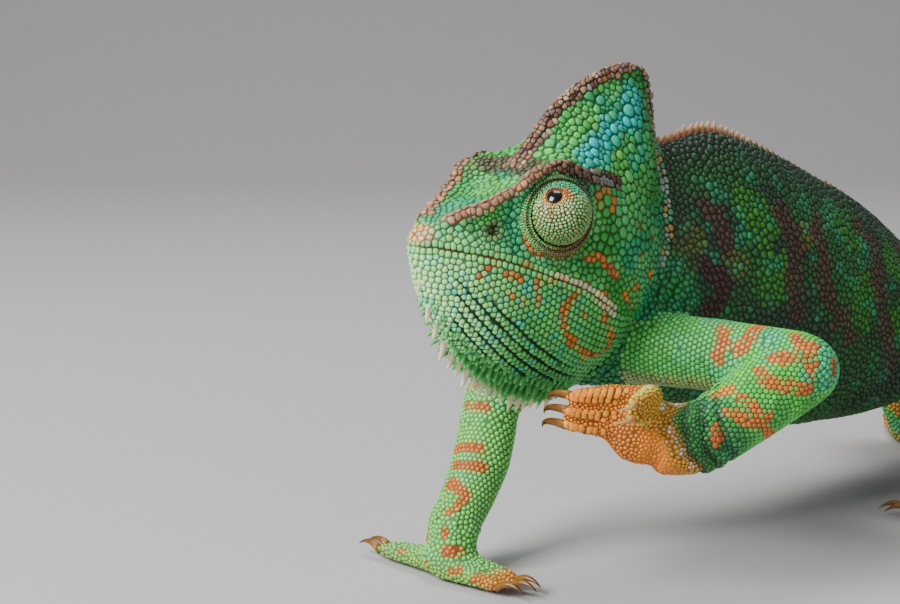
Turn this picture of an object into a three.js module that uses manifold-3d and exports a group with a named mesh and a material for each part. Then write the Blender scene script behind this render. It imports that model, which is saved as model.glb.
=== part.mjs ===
// A veiled chameleon (Chamaeleo calyptratus), life size, standing still on a floor.
//
// Units are millimetres.  +Z is up, the animal faces -Y and its left side is +X.
// The right forefoot and both hind feet stand on the floor, the tail lies on it, and
// the left foreleg is raised with its palm turned forward.  Lengths along Y are first
// measured back from the tip of the snout; the finished group is then moved so that its
// origin is on the floor, under the middle of the whole animal.

import * as THREE from 'three';
import { mergeVertices } from 'three/addons/utils/BufferGeometryUtils.js';
import Module from 'manifold-3d';

const wasm = await Module();
wasm.setup();

// ------------------------------------------------------------------ driving dimensions

const SNOUT_HEIGHT = 77; //       tip of the snout above the floor
const BODY_GAP = 0.3; //          clearance left where two pieces meet
const SOLE_SINK = 0.45; //        how far a round sole is flattened by the floor
const REACH = 1000; //            much larger than the animal, for cutting blocks
const SLIVER = 0.06; //           facets thinner than this, left by a cut, are closed up

const NECK_START = 43;
const NECK_END = 74;
const CHEST_END = 128;
const PELVIS_END = 199;

const EYE_RADIUS = 7.7;
const EYE_CENTRE = new THREE.Vector3(12.8, 29.2, SNOUT_HEIGHT + 4.4);
const CASQUE_FOOT_FRONT = [27, 14.9]; // [y, height above snout] of the casque's lower edge
const CASQUE_FOOT_BACK = [70, 7.5];

const CASQUE_RIDGE = [ //         [y, height above snout] of the middle of the casque's ridge
  [28, 12.4], [33.2, 17.0], [38.9, 23.0], [47.6, 28.0], [56, 30.6], [62, 31.8], [66.4, 30.4],
  [68.6, 26], [69.2, 19], [69.2, 11],
];
const CASQUE_RIDGE_RADII = [1.0, 1.6, 1.7, 1.6, 1.5, 1.5];

const TAIL_LENGTH = 204;
const TAIL_DROP_LENGTH = 80; //   the stretch that comes down to the floor
const TAIL_SWING_LENGTH = 52; //  the stretch that bends to the right before the curl
const TAIL_SWING_ANGLE = THREE.MathUtils.degToRad(30);
const TAIL_CURL_WIDE = 25; //     bend radius where the curl begins
const TAIL_CURL_TIGHT = 8; //     bend radius at the tip
const TAIL_ROOT_HEIGHT = 38.6;
const TAIL_ROOT_SLOPE = 0.85; //  how steeply the tail leaves the body
const TAIL_JOINTS = [0, 44, 80, 112, 142, 168, 188, TAIL_LENGTH];
const TAIL_SIDES = 8;
const TAIL_RING_STEP = 6;

const DIGIT_ROOT_RADIUS = 2.7;
const DIGIT_TIP_RADIUS = 1.65;
const DIGIT_SIDES = 6;
const CLAW_LENGTH = 5.4;
const CLAW_ROOT_RADIUS = 0.95;
const CLAW_TIP_RADIUS = 0.32;
const CLAW_SIDES = 5;
const PAD_HEIGHT = 3.9; //        middle of a standing foot's pad above the floor

const SPINE_SIDES = 4;
const LEG_SIDES = 10;
const KNEE_CAP_ANGLES = [35, 68].map(THREE.MathUtils.degToRad);

// ------------------------------------------------------------------ guide curves

/** A smooth function through values at increasing places, which never overshoots. */
function fairLine(places, values) {
  const last = places.length - 1;
  const slopes = places.slice(1).map((place, i) => (values[i + 1] - values[i]) / (place - places[i]));
  const tangents = values.map((_, i) => {
    if (i === 0) return slopes[0];
    if (i === last) return slopes[last - 1];
    const turns = slopes[i - 1] * slopes[i] <= 0;
    return turns ? 0 : (2 * slopes[i - 1] * slopes[i]) / (slopes[i - 1] + slopes[i]);
  });
  return (place) => {
    const at = THREE.MathUtils.clamp(place, places[0], places[last]);
    const i = Math.max(0, Math.min(last - 1, places.findIndex((edge) => edge > at) - 1));
    const span = places[i + 1] - places[i];
    const t = at >= places[last] ? 1 : (at - places[i]) / span;
    const k = at >= places[last] ? last - 1 : i;
    const width = places[k + 1] - places[k];
    const fromStart = values[k] * (1 + 2 * t) * (1 - t) ** 2 + tangents[k] * width * t * (1 - t) ** 2;
    const fromEnd = values[k + 1] * t * t * (3 - 2 * t) - tangents[k + 1] * width * t * t * (1 - t);
    return fromStart + fromEnd;
  };
}

/** Turns rows [y, a, b, ...] into a function that gives [a, b, ...] at any y. */
function guide(rows) {
  const places = rows.map((row) => row[0]);
  const lines = rows[0].slice(1).map((_, column) => fairLine(places, rows.map((row) => row[column + 1])));
  return (y) => lines.map((line) => line(y));
}

// Head guides: each row is [y, half width, height above the snout tip].
const CROWN = guide([
  [0.6, 0, -1.2], [1.6, 0, 1.3], [6.5, 0, 4.3], [14, 0, 6.6], [24.5, 0, 10.4], [29, 0, 13.4],
  [38.7, 0, 23.6], [47.5, 0, 28.5], [61.5, 0, 32.4], [66.5, 0, 31.0], [69, 0, 26.5],
]);
const FLANK = guide([
  [0.6, 0.6, -1.3], [1.6, 1.4, 1.2], [6.8, 2.6, 4.4], [14.5, 4.4, 6.6], [24.5, 6.3, 11.2],
  [29, 5.8, 13.9], [38.7, 5.2, 17.8], [47.5, 5.2, 20.3], [61.5, 5.2, 20.3], [69, 3.0, 16],
]);
const BROW = guide([
  [0.6, 0.9, -1.6], [1.6, 2.2, 0.8], [6.8, 4.5, 5.1], [14.5, 7.9, 7.9], [18.5, 10.3, 10.0],
  [25, 12.2, 13.7], [31, 12.7, 14.0], [38, 12.0, 11.3], [45, 10.9, 9.8], [61.5, 8.4, 7], [69, 5.0, 6],
]);
const CHEEK = guide([
  [0.6, 1.1, -2.2], [1.6, 2.7, -0.7], [6.8, 5.5, 1.4], [14.5, 8.3, 2.0], [25, 10.6, 2.6],
  [31, 10.9, 2.4], [38, 12.6, 0.4], [47, 13.3, -1.5], [61.5, 10.6, -3], [69, 5.8, -2.5],
]);
const LIP = guide([
  [0.6, 1.1, -2.8], [1.6, 2.9, -1.7], [6.8, 6.0, -2.1], [14.5, 9.6, -3.9], [25, 12.9, -7.2],
  [34, 14.2, -11.2], [44, 14.6, -15.6], [53, 13.6, -14.5], [61.5, 11.0, -11.5], [69, 5.0, -9],
]);
const GULAR = guide([
  [0.6, 0.8, -3.4], [1.6, 2.3, -4.2], [4, 4.0, -9.5], [9.5, 6.6, -15.5], [17, 9.1, -20],
  [28, 11.0, -24.5], [40, 11.4, -27], [48, 11.4, -25.5], [56, 9.8, -20], [64, 6.6, -14.5], [69, 3.4, -11],
]);
const KEEL = guide([
  [0.6, 0, -4.0], [1.6, 0, -6.0], [4, 0, -14.0], [9.3, 0, -22.7], [15.8, 0, -28.9], [25.5, 0, -34.4],
  [34, 0, -37.4], [41, 0, -38.2], [48, 0, -35.5], [55, 0, -28], [62, 0, -19], [69, 0, -12],
]);
const HEAD_GUIDES = [CROWN, FLANK, BROW, CHEEK, LIP, GULAR, KEEL];
const HEAD_STATIONS = [
  0.6, 1.6, 3.6, 6.5, 10, 14, 18.5, 23, 27, 31, 35, 39, 43.5, 48, 53, 58, 62, 65.5, 68, 69,
];
const SAMPLES_PER_GUIDE = 2;

// The mouth line: rows [y, height above the snout tip].
const MOUTH = guide([[-6, 0.2], [4, -0.7], [12, -2.9], [25, -6.7], [34.5, -10.9], [44.5, -17.3], [72, -25]]);

// Body guide: rows [y, height of the back, height of the belly, half width].
const BODY = guide([
  [NECK_START, 70, 42, 8.0], [55, 82.5, 39.5, 10.6], [66, 89, 35.5, 12.8], [NECK_END, 93, 31.5, 14.2],
  [86, 95.5, 26.8, 15.8], [100, 92.6, 22.6, 17.4], [123, 84, 19.6, 18.4], [144, 75, 18.6, 17.8],
  [166, 61, 20.0, 15.2], [180, 53.5, 23.6, 12.2], [192, 48.6, 28.6, 9.2], [PELVIS_END, 45.5, 31.2, 7.6],
]);
const BODY_SIDES = 18;
const BODY_RING_STEP = 8;
const BACK_PINCH = 0.26; // how much narrower the body is near its back than near its belly

// ------------------------------------------------------------------ solids

/** Joins rings of points, all of one length, into a closed body with two end caps. */
function loft(rings) {
  const sides = rings[0].length;
  const last = rings.length - 1;
  const points = rings.flat();
  const middles = [rings[0], rings[last]].map((ring) =>
    ring.reduce((sum, point) => sum.add(point), new THREE.Vector3()).divideScalar(sides));
  const faces = [];
  for (let ring = 0; ring < last; ring += 1) {
    for (let side = 0; side < sides; side += 1) {
      const a = ring * sides + side;
      const b = ring * sides + ((side + 1) % sides);
      faces.push(a, b, b + sides, a, b + sides, a + sides);
    }
  }
  for (let side = 0; side < sides; side += 1) {
    const next = (side + 1) % sides;
    faces.push(points.length, next, side);
    faces.push(points.length + 1, last * sides + side, last * sides + next);
  }
  const geometry = new THREE.BufferGeometry().setFromPoints([...points, ...middles]);
  geometry.setIndex(enclosedVolume(geometry, faces) > 0 ? faces : faces.reverse());
  return geometry;
}

/** Six times the volume inside a list of triangles; negative if they face inwards. */
function enclosedVolume(geometry, faces) {
  const corners = [0, 1, 2].map(() => new THREE.Vector3());
  let sum = 0;
  for (let i = 0; i < faces.length; i += 3) {
    corners.forEach((corner, k) => corner.fromBufferAttribute(geometry.attributes.position, faces[i + k]));
    sum += corners[0].dot(corners[1].clone().cross(corners[2]));
  }
  return sum;
}

/** A closed geometry as a solid that can be joined and cut. */
function solid(geometry) {
  const bare = geometry.clone();
  bare.deleteAttribute('normal');
  bare.deleteAttribute('uv');
  const merged = mergeVertices(bare, 1e-4);
  return new wasm.Manifold(new wasm.Mesh({
    numProp: 3,
    vertProperties: new Float32Array(merged.attributes.position.array),
    triVerts: new Uint32Array(merged.index.array),
  }));
}

/** A solid's surface as a geometry. */
function surface(body) {
  const mesh = body.getMesh();
  const geometry = new THREE.BufferGeometry();
  geometry.setAttribute('position', new THREE.BufferAttribute(new Float32Array(mesh.vertProperties), 3));
  geometry.setIndex([...mesh.triVerts]);
  return geometry;
}

/** The same geometry with its whole surface moved outwards, as a cutter with clearance. */
function swollen(geometry, amount = BODY_GAP) {
  const bare = geometry.clone();
  bare.deleteAttribute('normal');
  bare.deleteAttribute('uv');
  const grown = mergeVertices(bare, 1e-4);
  grown.computeVertexNormals();
  const { position, normal } = grown.attributes;
  const point = new THREE.Vector3();
  const outward = new THREE.Vector3();
  for (let i = 0; i < position.count; i += 1) {
    point.fromBufferAttribute(position, i).addScaledVector(outward.fromBufferAttribute(normal, i), amount);
    position.setXYZ(i, point.x, point.y, point.z);
  }
  return grown;
}

/** Cuts neighbours away from a body, with clearance. */
function clearedOf(body, ...neighbours) {
  return neighbours.reduce((rest, neighbour) => rest.subtract(solid(swollen(neighbour))), body);
}

/** A block that fills everything on the side of a plane that its normal points to. */
function halfSpace(point, normal) {
  const block = new THREE.BoxGeometry(REACH, REACH, REACH);
  block.translate(0, 0, REACH / 2);
  const turn = new THREE.Quaternion().setFromUnitVectors(new THREE.Vector3(0, 0, 1), normal);
  block.applyQuaternion(turn);
  block.translate(point.x, point.y, point.z);
  return solid(block);
}

/** The direction, of X, Y and Z, that a curve runs along least. */
function crosswise(curve) {
  const run = curve.getPoint(1).sub(curve.getPoint(0)).toArray().map(Math.abs);
  const least = run.indexOf(Math.min(...run));
  return new THREE.Vector3().setComponent(least, 1);
}

/** A tube of changing radius along a curve, with a flat end or, for a knee, a round one. */
function limb(curve, radii, options = {}) {
  const { rings = 5, sides = LEG_SIDES, across = crosswise(curve), roundEnd = false } = options;
  const radius = fairLine(radii.map((_, i) => i / (radii.length - 1)), radii);
  const ringAt = (t, beyond, shrink) => {
    const along = curve.getTangent(t);
    const centre = curve.getPoint(t).addScaledVector(along, beyond * radius(t));
    const lift = new THREE.Vector3().crossVectors(across, along).normalize();
    const side = new THREE.Vector3().crossVectors(along, lift).normalize();
    return Array.from({ length: sides }, (_, k) => {
      const angle = (k / sides) * 2 * Math.PI;
      return centre.clone()
        .addScaledVector(lift, radius(t) * shrink * Math.cos(angle))
        .addScaledVector(side, radius(t) * shrink * Math.sin(angle));
    });
  };
  const tube = Array.from({ length: rings }, (_, i) => ringAt(i / (rings - 1), 0, 1));
  const cap = roundEnd ? KNEE_CAP_ANGLES.map((angle) => ringAt(1, Math.sin(angle), Math.cos(angle))) : [];
  return loft([...tube, ...cap]);
}

/** A smooth curve through points given as [x, y, z]. */
function path(...points) {
  return new THREE.CatmullRomCurve3(points.map((point) => new THREE.Vector3(...point)));
}

/** Small cones standing along a line, for a crest: at(t) gives a root, its lean and its length. */
function crest(count, at) {
  return Array.from({ length: count }, (_, i) => {
    const { root, lean, length, radius } = at((i + 0.5) / count);
    const spine = new THREE.ConeGeometry(radius, length, SPINE_SIDES);
    spine.translate(0, length / 2, 0);
    spine.applyQuaternion(new THREE.Quaternion().setFromUnitVectors(new THREE.Vector3(0, 1, 0), lean));
    spine.translate(root.x, root.y, root.z);
    return solid(spine);
  });
}

/** Several solids as one. */
function joined(bodies) {
  return bodies.reduce((sum, body) => sum.add(body));
}

// ------------------------------------------------------------------ head

/** One section across the head, as a closed ring. */
function headRing(y) {
  const outline = new THREE.SplineCurve(HEAD_GUIDES.map((line) => new THREE.Vector2(...line(y))));
  const steps = (HEAD_GUIDES.length - 1) * SAMPLES_PER_GUIDE;
  const half = Array.from({ length: steps + 1 }, (_, i) => outline.getPoint(i / steps));
  const left = half.map((point) => new THREE.Vector3(Math.max(0, point.x), y, SNOUT_HEIGHT + point.y));
  const right = left.slice(1, -1).reverse().map((point) => new THREE.Vector3(-point.x, y, point.z));
  return [...left, ...right];
}

/** The block of everything below the mouth line, moved up or down by shift. */
function belowMouth(shift) {
  const outline = new THREE.Shape();
  outline.moveTo(-6, -REACH);
  for (let y = -6; y <= 72; y += 6) outline.lineTo(y, SNOUT_HEIGHT + MOUTH(y)[0] + shift);
  outline.lineTo(72, -REACH);
  const block = new THREE.ExtrudeGeometry(outline, { depth: 80, bevelEnabled: false });
  block.translate(0, 0, -40);
  const axes = [new THREE.Vector3(0, 1, 0), new THREE.Vector3(0, 0, 1), new THREE.Vector3(1, 0, 0)];
  return solid(block.applyMatrix4(new THREE.Matrix4().makeBasis(...axes)));
}

/** The short soft spines that hang in a row under the chin and throat. */
function gularSpines() {
  const chin = new THREE.Vector3(0, -0.45, -0.9).normalize();
  return crest(13, (t) => {
    const y = 3.5 + 33 * t;
    const length = 1.9 + 2.0 * Math.sin(Math.PI * t) ** 0.6;
    const root = new THREE.Vector3(0, y, SNOUT_HEIGHT + KEEL(y)[1] + 0.7);
    return { root, lean: chin, length, radius: 0.95 };
  });
}

/** The two turreted eyeballs. */
const eyes = ['left', 'right'].map((name, i) => {
  const ball = new THREE.SphereGeometry(EYE_RADIUS, 12, 8);
  ball.translate(i === 0 ? EYE_CENTRE.x : -EYE_CENTRE.x, EYE_CENTRE.y, EYE_CENTRE.z);
  return { name: `eye_${name}`, geometry: ball };
});

const headShape = loft(HEAD_STATIONS.map(headRing));
const casqueFoot = new THREE.Vector3(0, CASQUE_FOOT_FRONT[0], SNOUT_HEIGHT + CASQUE_FOOT_FRONT[1]);
const casqueSlope = new THREE.Vector3(
  0,
  CASQUE_FOOT_FRONT[1] - CASQUE_FOOT_BACK[1],
  CASQUE_FOOT_BACK[0] - CASQUE_FOOT_FRONT[0],
).normalize();

/** The thick ridge that runs up the casque's front, over its top and down its back edge. */
const casqueRidge = limb(
  path(...CASQUE_RIDGE.map(([y, height]) => [0, y, SNOUT_HEIGHT + height])),
  CASQUE_RIDGE_RADII,
  { rings: 13, sides: 6 },
);

/** Parts the head into casque, skull and lower jaw with throat. */
function headPieces() {
  const ridged = solid(headShape).add(solid(casqueRidge));
  const whole = clearedOf(ridged, ...eyes.map((eye) => eye.geometry));
  const lift = casqueSlope.clone().multiplyScalar(BODY_GAP / 2);
  const casque = whole.intersect(halfSpace(casqueFoot.clone().add(lift), casqueSlope));
  const below = whole.subtract(halfSpace(casqueFoot.clone().sub(lift), casqueSlope));
  const jaw = below.intersect(belowMouth(-BODY_GAP / 2));
  const skull = below.subtract(belowMouth(BODY_GAP / 2));
  return { casque, skull, jaw: joined([jaw, ...gularSpines()]) };
}

// ------------------------------------------------------------------ neck and trunk

/** One section across the body: an upright oval, narrower towards the back. */
function bodyRing(y) {
  const [back, belly, halfWidth] = BODY(y);
  const middle = (back + belly) / 2;
  const halfHeight = (back - belly) / 2;
  return Array.from({ length: BODY_SIDES }, (_, k) => {
    const angle = (k / BODY_SIDES) * 2 * Math.PI;
    const pinch = 1 - BACK_PINCH * Math.cos(angle);
    return new THREE.Vector3(halfWidth * Math.sin(angle) * pinch, y, middle + halfHeight * Math.cos(angle));
  });
}

/** The stretch of the body between two places along it. */
function bodyLength(from, to) {
  const rings = Math.ceil((to - from) / BODY_RING_STEP) + 1;
  return loft(Array.from({ length: rings }, (_, i) => bodyRing(from + ((to - from) * i) / (rings - 1))));
}

/** The dorsal crest: low cones that are longest over the shoulders. */
function dorsalSpines(from, to, count) {
  const lean = new THREE.Vector3(0, 0.3, 0.95).normalize();
  return crest(count, (t) => {
    const y = from + (to - from) * t;
    const length = 1.9 + 1.5 * Math.exp(-(((y - 84) / 22) ** 2));
    return { root: new THREE.Vector3(0, y, BODY(y)[0] - 0.8), lean, length, radius: 1.1 };
  });
}

const neckShape = bodyLength(NECK_START, NECK_END - BODY_GAP / 2);
const chestShape = bodyLength(NECK_END + BODY_GAP / 2, CHEST_END - BODY_GAP / 2);
const pelvisShape = bodyLength(CHEST_END + BODY_GAP / 2, PELVIS_END);
const bodyShape = bodyLength(NECK_START, PELVIS_END);

// ------------------------------------------------------------------ tail

/** The tail's thickness, from root to tip. */
const TAIL_RADIUS = fairLine([0, 20, 50, 90, 140, 180, TAIL_LENGTH], [6.9, 6.2, 4.9, 3.9, 2.9, 1.9, 1.1]);

/** The tail's centre line: it comes down, swings right, then curls left along the floor. */
function tailLine() {
  const step = 2;
  const points = [];
  const curlStart = TAIL_DROP_LENGTH + TAIL_SWING_LENGTH / 2;
  let x = 0;
  let y = PELVIS_END - 4;
  let heading = 0;
  for (let s = 0; s <= TAIL_LENGTH; s += step) {
    const fall = Math.max(0, 1 - s / TAIL_DROP_LENGTH) ** 1.7;
    const rest = TAIL_RADIUS(s) - SOLE_SINK;
    points.push(new THREE.Vector3(x, y, rest + (TAIL_ROOT_HEIGHT - rest) * fall));
    const level = Math.cos(Math.atan(TAIL_ROOT_SLOPE * Math.max(0, 1 - s / TAIL_DROP_LENGTH)));
    x -= step * level * Math.sin(heading);
    y += step * level * Math.cos(heading);
    const swinging = s > curlStart - TAIL_SWING_LENGTH && s < curlStart;
    if (swinging) heading += (step * TAIL_SWING_ANGLE) / TAIL_SWING_LENGTH;
    const curl = (s - curlStart) / (TAIL_LENGTH - curlStart);
    if (curl > 0) heading -= step / THREE.MathUtils.lerp(TAIL_CURL_WIDE, TAIL_CURL_TIGHT, curl);
  }
  return new THREE.CatmullRomCurve3(points);
}

/** One length of the tail between two distances from its root, flattened by the floor. */
function tailLength(line, from, to) {
  const rings = Math.ceil((to - from) / TAIL_RING_STEP) + 1;
  const up = new THREE.Vector3(0, 0, 1);
  const body = loft(Array.from({ length: rings }, (_, i) => {
    const s = from + ((to - from) * i) / (rings - 1);
    const centre = line.getPoint(s / TAIL_LENGTH);
    const along = line.getTangent(s / TAIL_LENGTH);
    const side = new THREE.Vector3().crossVectors(along, up).normalize();
    const lift = new THREE.Vector3().crossVectors(side, along).normalize();
    return Array.from({ length: TAIL_SIDES }, (__, k) => {
      const angle = ((k + 0.5) / TAIL_SIDES) * 2 * Math.PI;
      return centre.clone()
        .addScaledVector(side, TAIL_RADIUS(s) * Math.sin(angle))
        .addScaledVector(lift, TAIL_RADIUS(s) * Math.cos(angle));
    });
  }));
  return onFloor(solid(body));
}

/** Flattens whatever reaches below the floor. */
function onFloor(body) {
  return body.subtract(halfSpace(new THREE.Vector3(), new THREE.Vector3(0, 0, -1)));
}

// ------------------------------------------------------------------ hands and feet

/**
 * A grasping hand or foot with two bundles of digits.
 * Its own frame has the palm's middle at the origin, the inner bundle reaching along +U,
 * the digits side by side along W = N x U, and the palm facing N.
 * Each bundle has a count and length of digits, a heading that turns it from U towards N
 * or past it, a shift along W, a root height along N, a side that it closes to (1 or -1),
 * how far its claws arch and hook, the pitch of its digits, the share of that pitch lost
 * towards the tips, how far the tips lean along W, and how much shorter each digit is than
 * the one nearer the middle.
 */
function graspingFoot({ place, ankle, palm, bundles, curl, stands }) {
  const digits = bundles.flatMap((bundle) => Array.from({ length: bundle.count }, (_, i) => {
    const order = i - (bundle.count - 1) / 2;
    const offset = order * bundle.pitch;
    const length = bundle.length - bundle.taper * Math.abs(order);
    const out = new THREE.Vector3(Math.cos(bundle.heading), 0, Math.sin(bundle.heading));
    const inward = new THREE.Vector3(-Math.sin(bundle.heading), 0, Math.cos(bundle.heading))
      .multiplyScalar(bundle.closing);
    const at = (share, close) => out.clone().multiplyScalar(length * share)
      .addScaledVector(inward, curl * close)
      .add(new THREE.Vector3(0, bundle.shift + offset * (1 - bundle.narrowing * share), bundle.root))
      .add(new THREE.Vector3(0, bundle.lean * share ** 2, 0));
    const points = [at(0, 0), at(0.35, -0.25), at(0.7, -0.1), at(1, 0.55)];
    const tip = points[3];
    const heading = tip.clone().sub(points[2]).normalize();
    points.push(tip.clone().addScaledVector(heading, DIGIT_TIP_RADIUS * 0.8));
    const clawAt = (share, lift) => points[4].clone()
      .addScaledVector(heading, BODY_GAP + CLAW_LENGTH * share)
      .addScaledVector(inward, lift);
    return { points, claw: [clawAt(0, 0), clawAt(0.5, -bundle.clawArch), clawAt(1, bundle.clawHook)] };
  }));
  const worldPath = (points) =>
    new THREE.CatmullRomCurve3(points.map((point) => point.clone().applyMatrix4(place)));
  const across = new THREE.Vector3(0, 1, 0).transformDirection(place);
  const toes = digits.map((digit) => {
    const curve = worldPath(digit.points);
    const radii = [DIGIT_ROOT_RADIUS, 2.5, 2.3, DIGIT_TIP_RADIUS, CLAW_ROOT_RADIUS];
    return solid(limb(curve, radii, { rings: 4, sides: DIGIT_SIDES, across }));
  });
  const pad = new THREE.SphereGeometry(1, 8, 6);
  pad.scale(...palm);
  pad.applyMatrix4(place);
  const clawRadii = [CLAW_ROOT_RADIUS, 0.75, CLAW_TIP_RADIUS];
  const claws = digits.map((digit) =>
    limb(worldPath(digit.claw), clawRadii, { rings: 3, sides: CLAW_SIDES, across }));
  const whole = joined([solid(pad), solid(ankle), ...toes]);
  return { flesh: stands ? onFloor(whole) : whole, claws };
}

/** The frame of a hand or foot, from its middle, the way U points and the way N points. */
function footFrame(middle, inner, sole) {
  const u = inner.clone().normalize();
  const n = sole.clone().addScaledVector(u, -sole.dot(u)).normalize();
  const w = new THREE.Vector3().crossVectors(n, u);
  return new THREE.Matrix4().makeBasis(u, w, n).setPosition(middle);
}

const STANDING_DIGITS = {
  pitch: 3.1, narrowing: 0.06, lean: 0, taper: 1.3, clawArch: 1.2, clawHook: -0.4,
};
const RAISED_DIGITS = {
  pitch: 4.0, narrowing: 0.26, lean: 1.4, taper: 0.2, clawArch: 0.4, clawHook: 1.3,
};

/** A foot that stands on the floor, its two bundles spread to opposite sides. */
function standingFoot({ middle, heading, digits, lengths, ankle }) {
  const [x, y] = middle;
  const inner = new THREE.Vector3(Math.cos(heading), Math.sin(heading), 0);
  const place = footFrame(new THREE.Vector3(x, y, PAD_HEIGHT), inner, new THREE.Vector3(0, 0, -1));
  const droop = PAD_HEIGHT - (DIGIT_ROOT_RADIUS - SOLE_SINK);
  const bundle = (count, length, turn) => {
    const closing = turn > 1 ? -1 : 1;
    return { count, length, heading: turn, shift: 0, root: droop, closing, ...STANDING_DIGITS };
  };
  return graspingFoot({
    place,
    ankle,
    palm: [7.2, 6.0, 4.4],
    bundles: [bundle(digits[0], lengths[0], 0), bundle(digits[1], lengths[1], Math.PI)],
    curl: 0.7,
    stands: true,
  });
}

// ------------------------------------------------------------------ legs

/** An upper and a lower leg that meet at a bent, round knee or elbow. */
function leg({ root, joint, foot, upperRadii, lowerRadii, bow }) {
  const middle = (a, b, share) => a.map((value, i) => value + (b[i] - value) * share + bow[i]);
  const upper = limb(path(root, middle(root, joint, 0.5), joint), upperRadii, { roundEnd: true });
  const lower = limb(path(joint, middle(joint, foot, 0.5), foot), lowerRadii);
  return { upper, lower };
}

/** Clears the pieces of one leg, from the top: upper part, lower part, foot and its claws. */
function legPieces({ upper, lower }, foot, [upperName, lowerName, footName], footMaterial) {
  const knee = clearedOf(solid(lower), upper);
  const largest = (body) => body.decompose().reduce((a, b) => (a.volume() > b.volume() ? a : b));
  const thigh = largest(clearedOf(solid(upper), bodyShape, headShape));
  const shin = largest(clearedOf(knee, surface(foot.flesh)));
  const claws = foot.claws.map((claw, i) => ({
    name: `${footName}_claw_${i + 1}`,
    body: solid(claw),
    material: 'claw',
  }));
  return [
    { name: upperName, body: thigh, material: 'leg' },
    { name: lowerName, body: shin, material: 'leg' },
    { name: footName, body: foot.flesh, material: footMaterial },
    ...claws,
  ];
}

const raisedArm = leg({
  root: [6, 59, 48.8], joint: [41.9, 70.9, 48.0], foot: [34.4, 46.4, 35.2],
  upperRadii: [8.6, 8.4, 8.3, 8.4], lowerRadii: [8.4, 8.4, 8.1, 7.8], bow: [0.5, 0.6, 0.5],
});
const plantedArm = leg({
  root: [-6, 61, 54], joint: [-23.2, 44.4, 35.5], foot: [-16.4, 26, 9],
  upperRadii: [8, 7.6, 7.2, 6.9], lowerRadii: [6.9, 7.3, 6.8, 6.0], bow: [0.9, 2.0, 0],
});
const leftHindLeg = leg({
  root: [5, 180, 37], joint: [34, 168, 42], foot: [34, 153, 10],
  upperRadii: [9.0, 8.2, 7.2, 6.4], lowerRadii: [6.4, 6.6, 5.8, 5.2], bow: [0.6, -0.5, 0.8],
});
const rightHindLeg = leg({
  root: [-5, 182, 37], joint: [-33, 187, 37], foot: [-16, 196, 10],
  upperRadii: [9.0, 8.2, 7.2, 6.4], lowerRadii: [6.4, 6.6, 5.8, 5.2], bow: [-0.6, -0.5, 0.8],
});

/** A short taper from the end of the lower leg into the foot. */
function ankleOf(lowerEnd, padMiddle, radii) {
  const halfway = lowerEnd.map((value, i) => (value + padMiddle[i]) / 2);
  return limb(path(lowerEnd, halfway, padMiddle), radii, { rings: 3, sides: 8 });
}

const PALM_MIDDLE = [28.4, 37.6, 38.2];
const PALM_REACH = new THREE.Vector3(-0.5, -0.84, 0.21);
const PALM_FACING = new THREE.Vector3(0.873, -0.477, 0.105);

const raisedHand = graspingFoot({
  place: footFrame(new THREE.Vector3(...PALM_MIDDLE), PALM_REACH, PALM_FACING),
  ankle: ankleOf([35.4, 49.8, 35.8], [29.8, 39.8, 35.9], [7.6, 7.8, 7.4]),
  palm: [8.8, 7.5, 4.8],
  bundles: [
    { count: 3, length: 17.0, heading: 0.02, shift: -2.9, root: 0.4, closing: 1, ...RAISED_DIGITS },
    { count: 2, length: 11.8, heading: 0.95, shift: -5.6, root: 2.2, closing: -1, ...RAISED_DIGITS },
  ],
  curl: 1.2,
  stands: false,
});

const rightForefoot = standingFoot({
  middle: [-15.5, 24.6], heading: 0.1, digits: [3, 2], lengths: [18, 20],
  ankle: ankleOf([-17.5, 28.7, 13], [-15.6, 24.8, 4.5], [5.5, 5.8, 6.0]),
});
const leftHindfoot = standingFoot({
  middle: [33.5, 150], heading: Math.PI + 1.05, digits: [2, 3], lengths: [16.5, 17],
  ankle: ankleOf([34.1, 155.4, 15], [33.6, 150.4, 4.5], [5.3, 5.6, 6.0]),
});
const rightHindfoot = standingFoot({
  middle: [-14.5, 197.5], heading: -0.75, digits: [2, 3], lengths: [16.5, 17],
  ankle: ankleOf([-18.6, 194.6, 15], [-14.8, 197.2, 4.5], [5.3, 5.6, 6.0]),
});

// ------------------------------------------------------------------ the finished group

const MATERIALS = {
  head: new THREE.MeshStandardMaterial({ color: 0x4fae74, roughness: 0.55, metalness: 0 }),
  casque: new THREE.MeshStandardMaterial({ color: 0x3aa585, roughness: 0.5, metalness: 0 }),
  trunk: new THREE.MeshStandardMaterial({ color: 0x2c6b3c, roughness: 0.65, metalness: 0 }),
  leg: new THREE.MeshStandardMaterial({ color: 0x58ab6c, roughness: 0.6, metalness: 0 }),
  palm: new THREE.MeshStandardMaterial({ color: 0xcf7a3c, roughness: 0.6, metalness: 0 }),
  eye: new THREE.MeshStandardMaterial({ color: 0x9aa765, roughness: 0.4, metalness: 0 }),
  claw: new THREE.MeshStandardMaterial({ color: 0x8a6a32, roughness: 0.35, metalness: 0 }),
};

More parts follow.
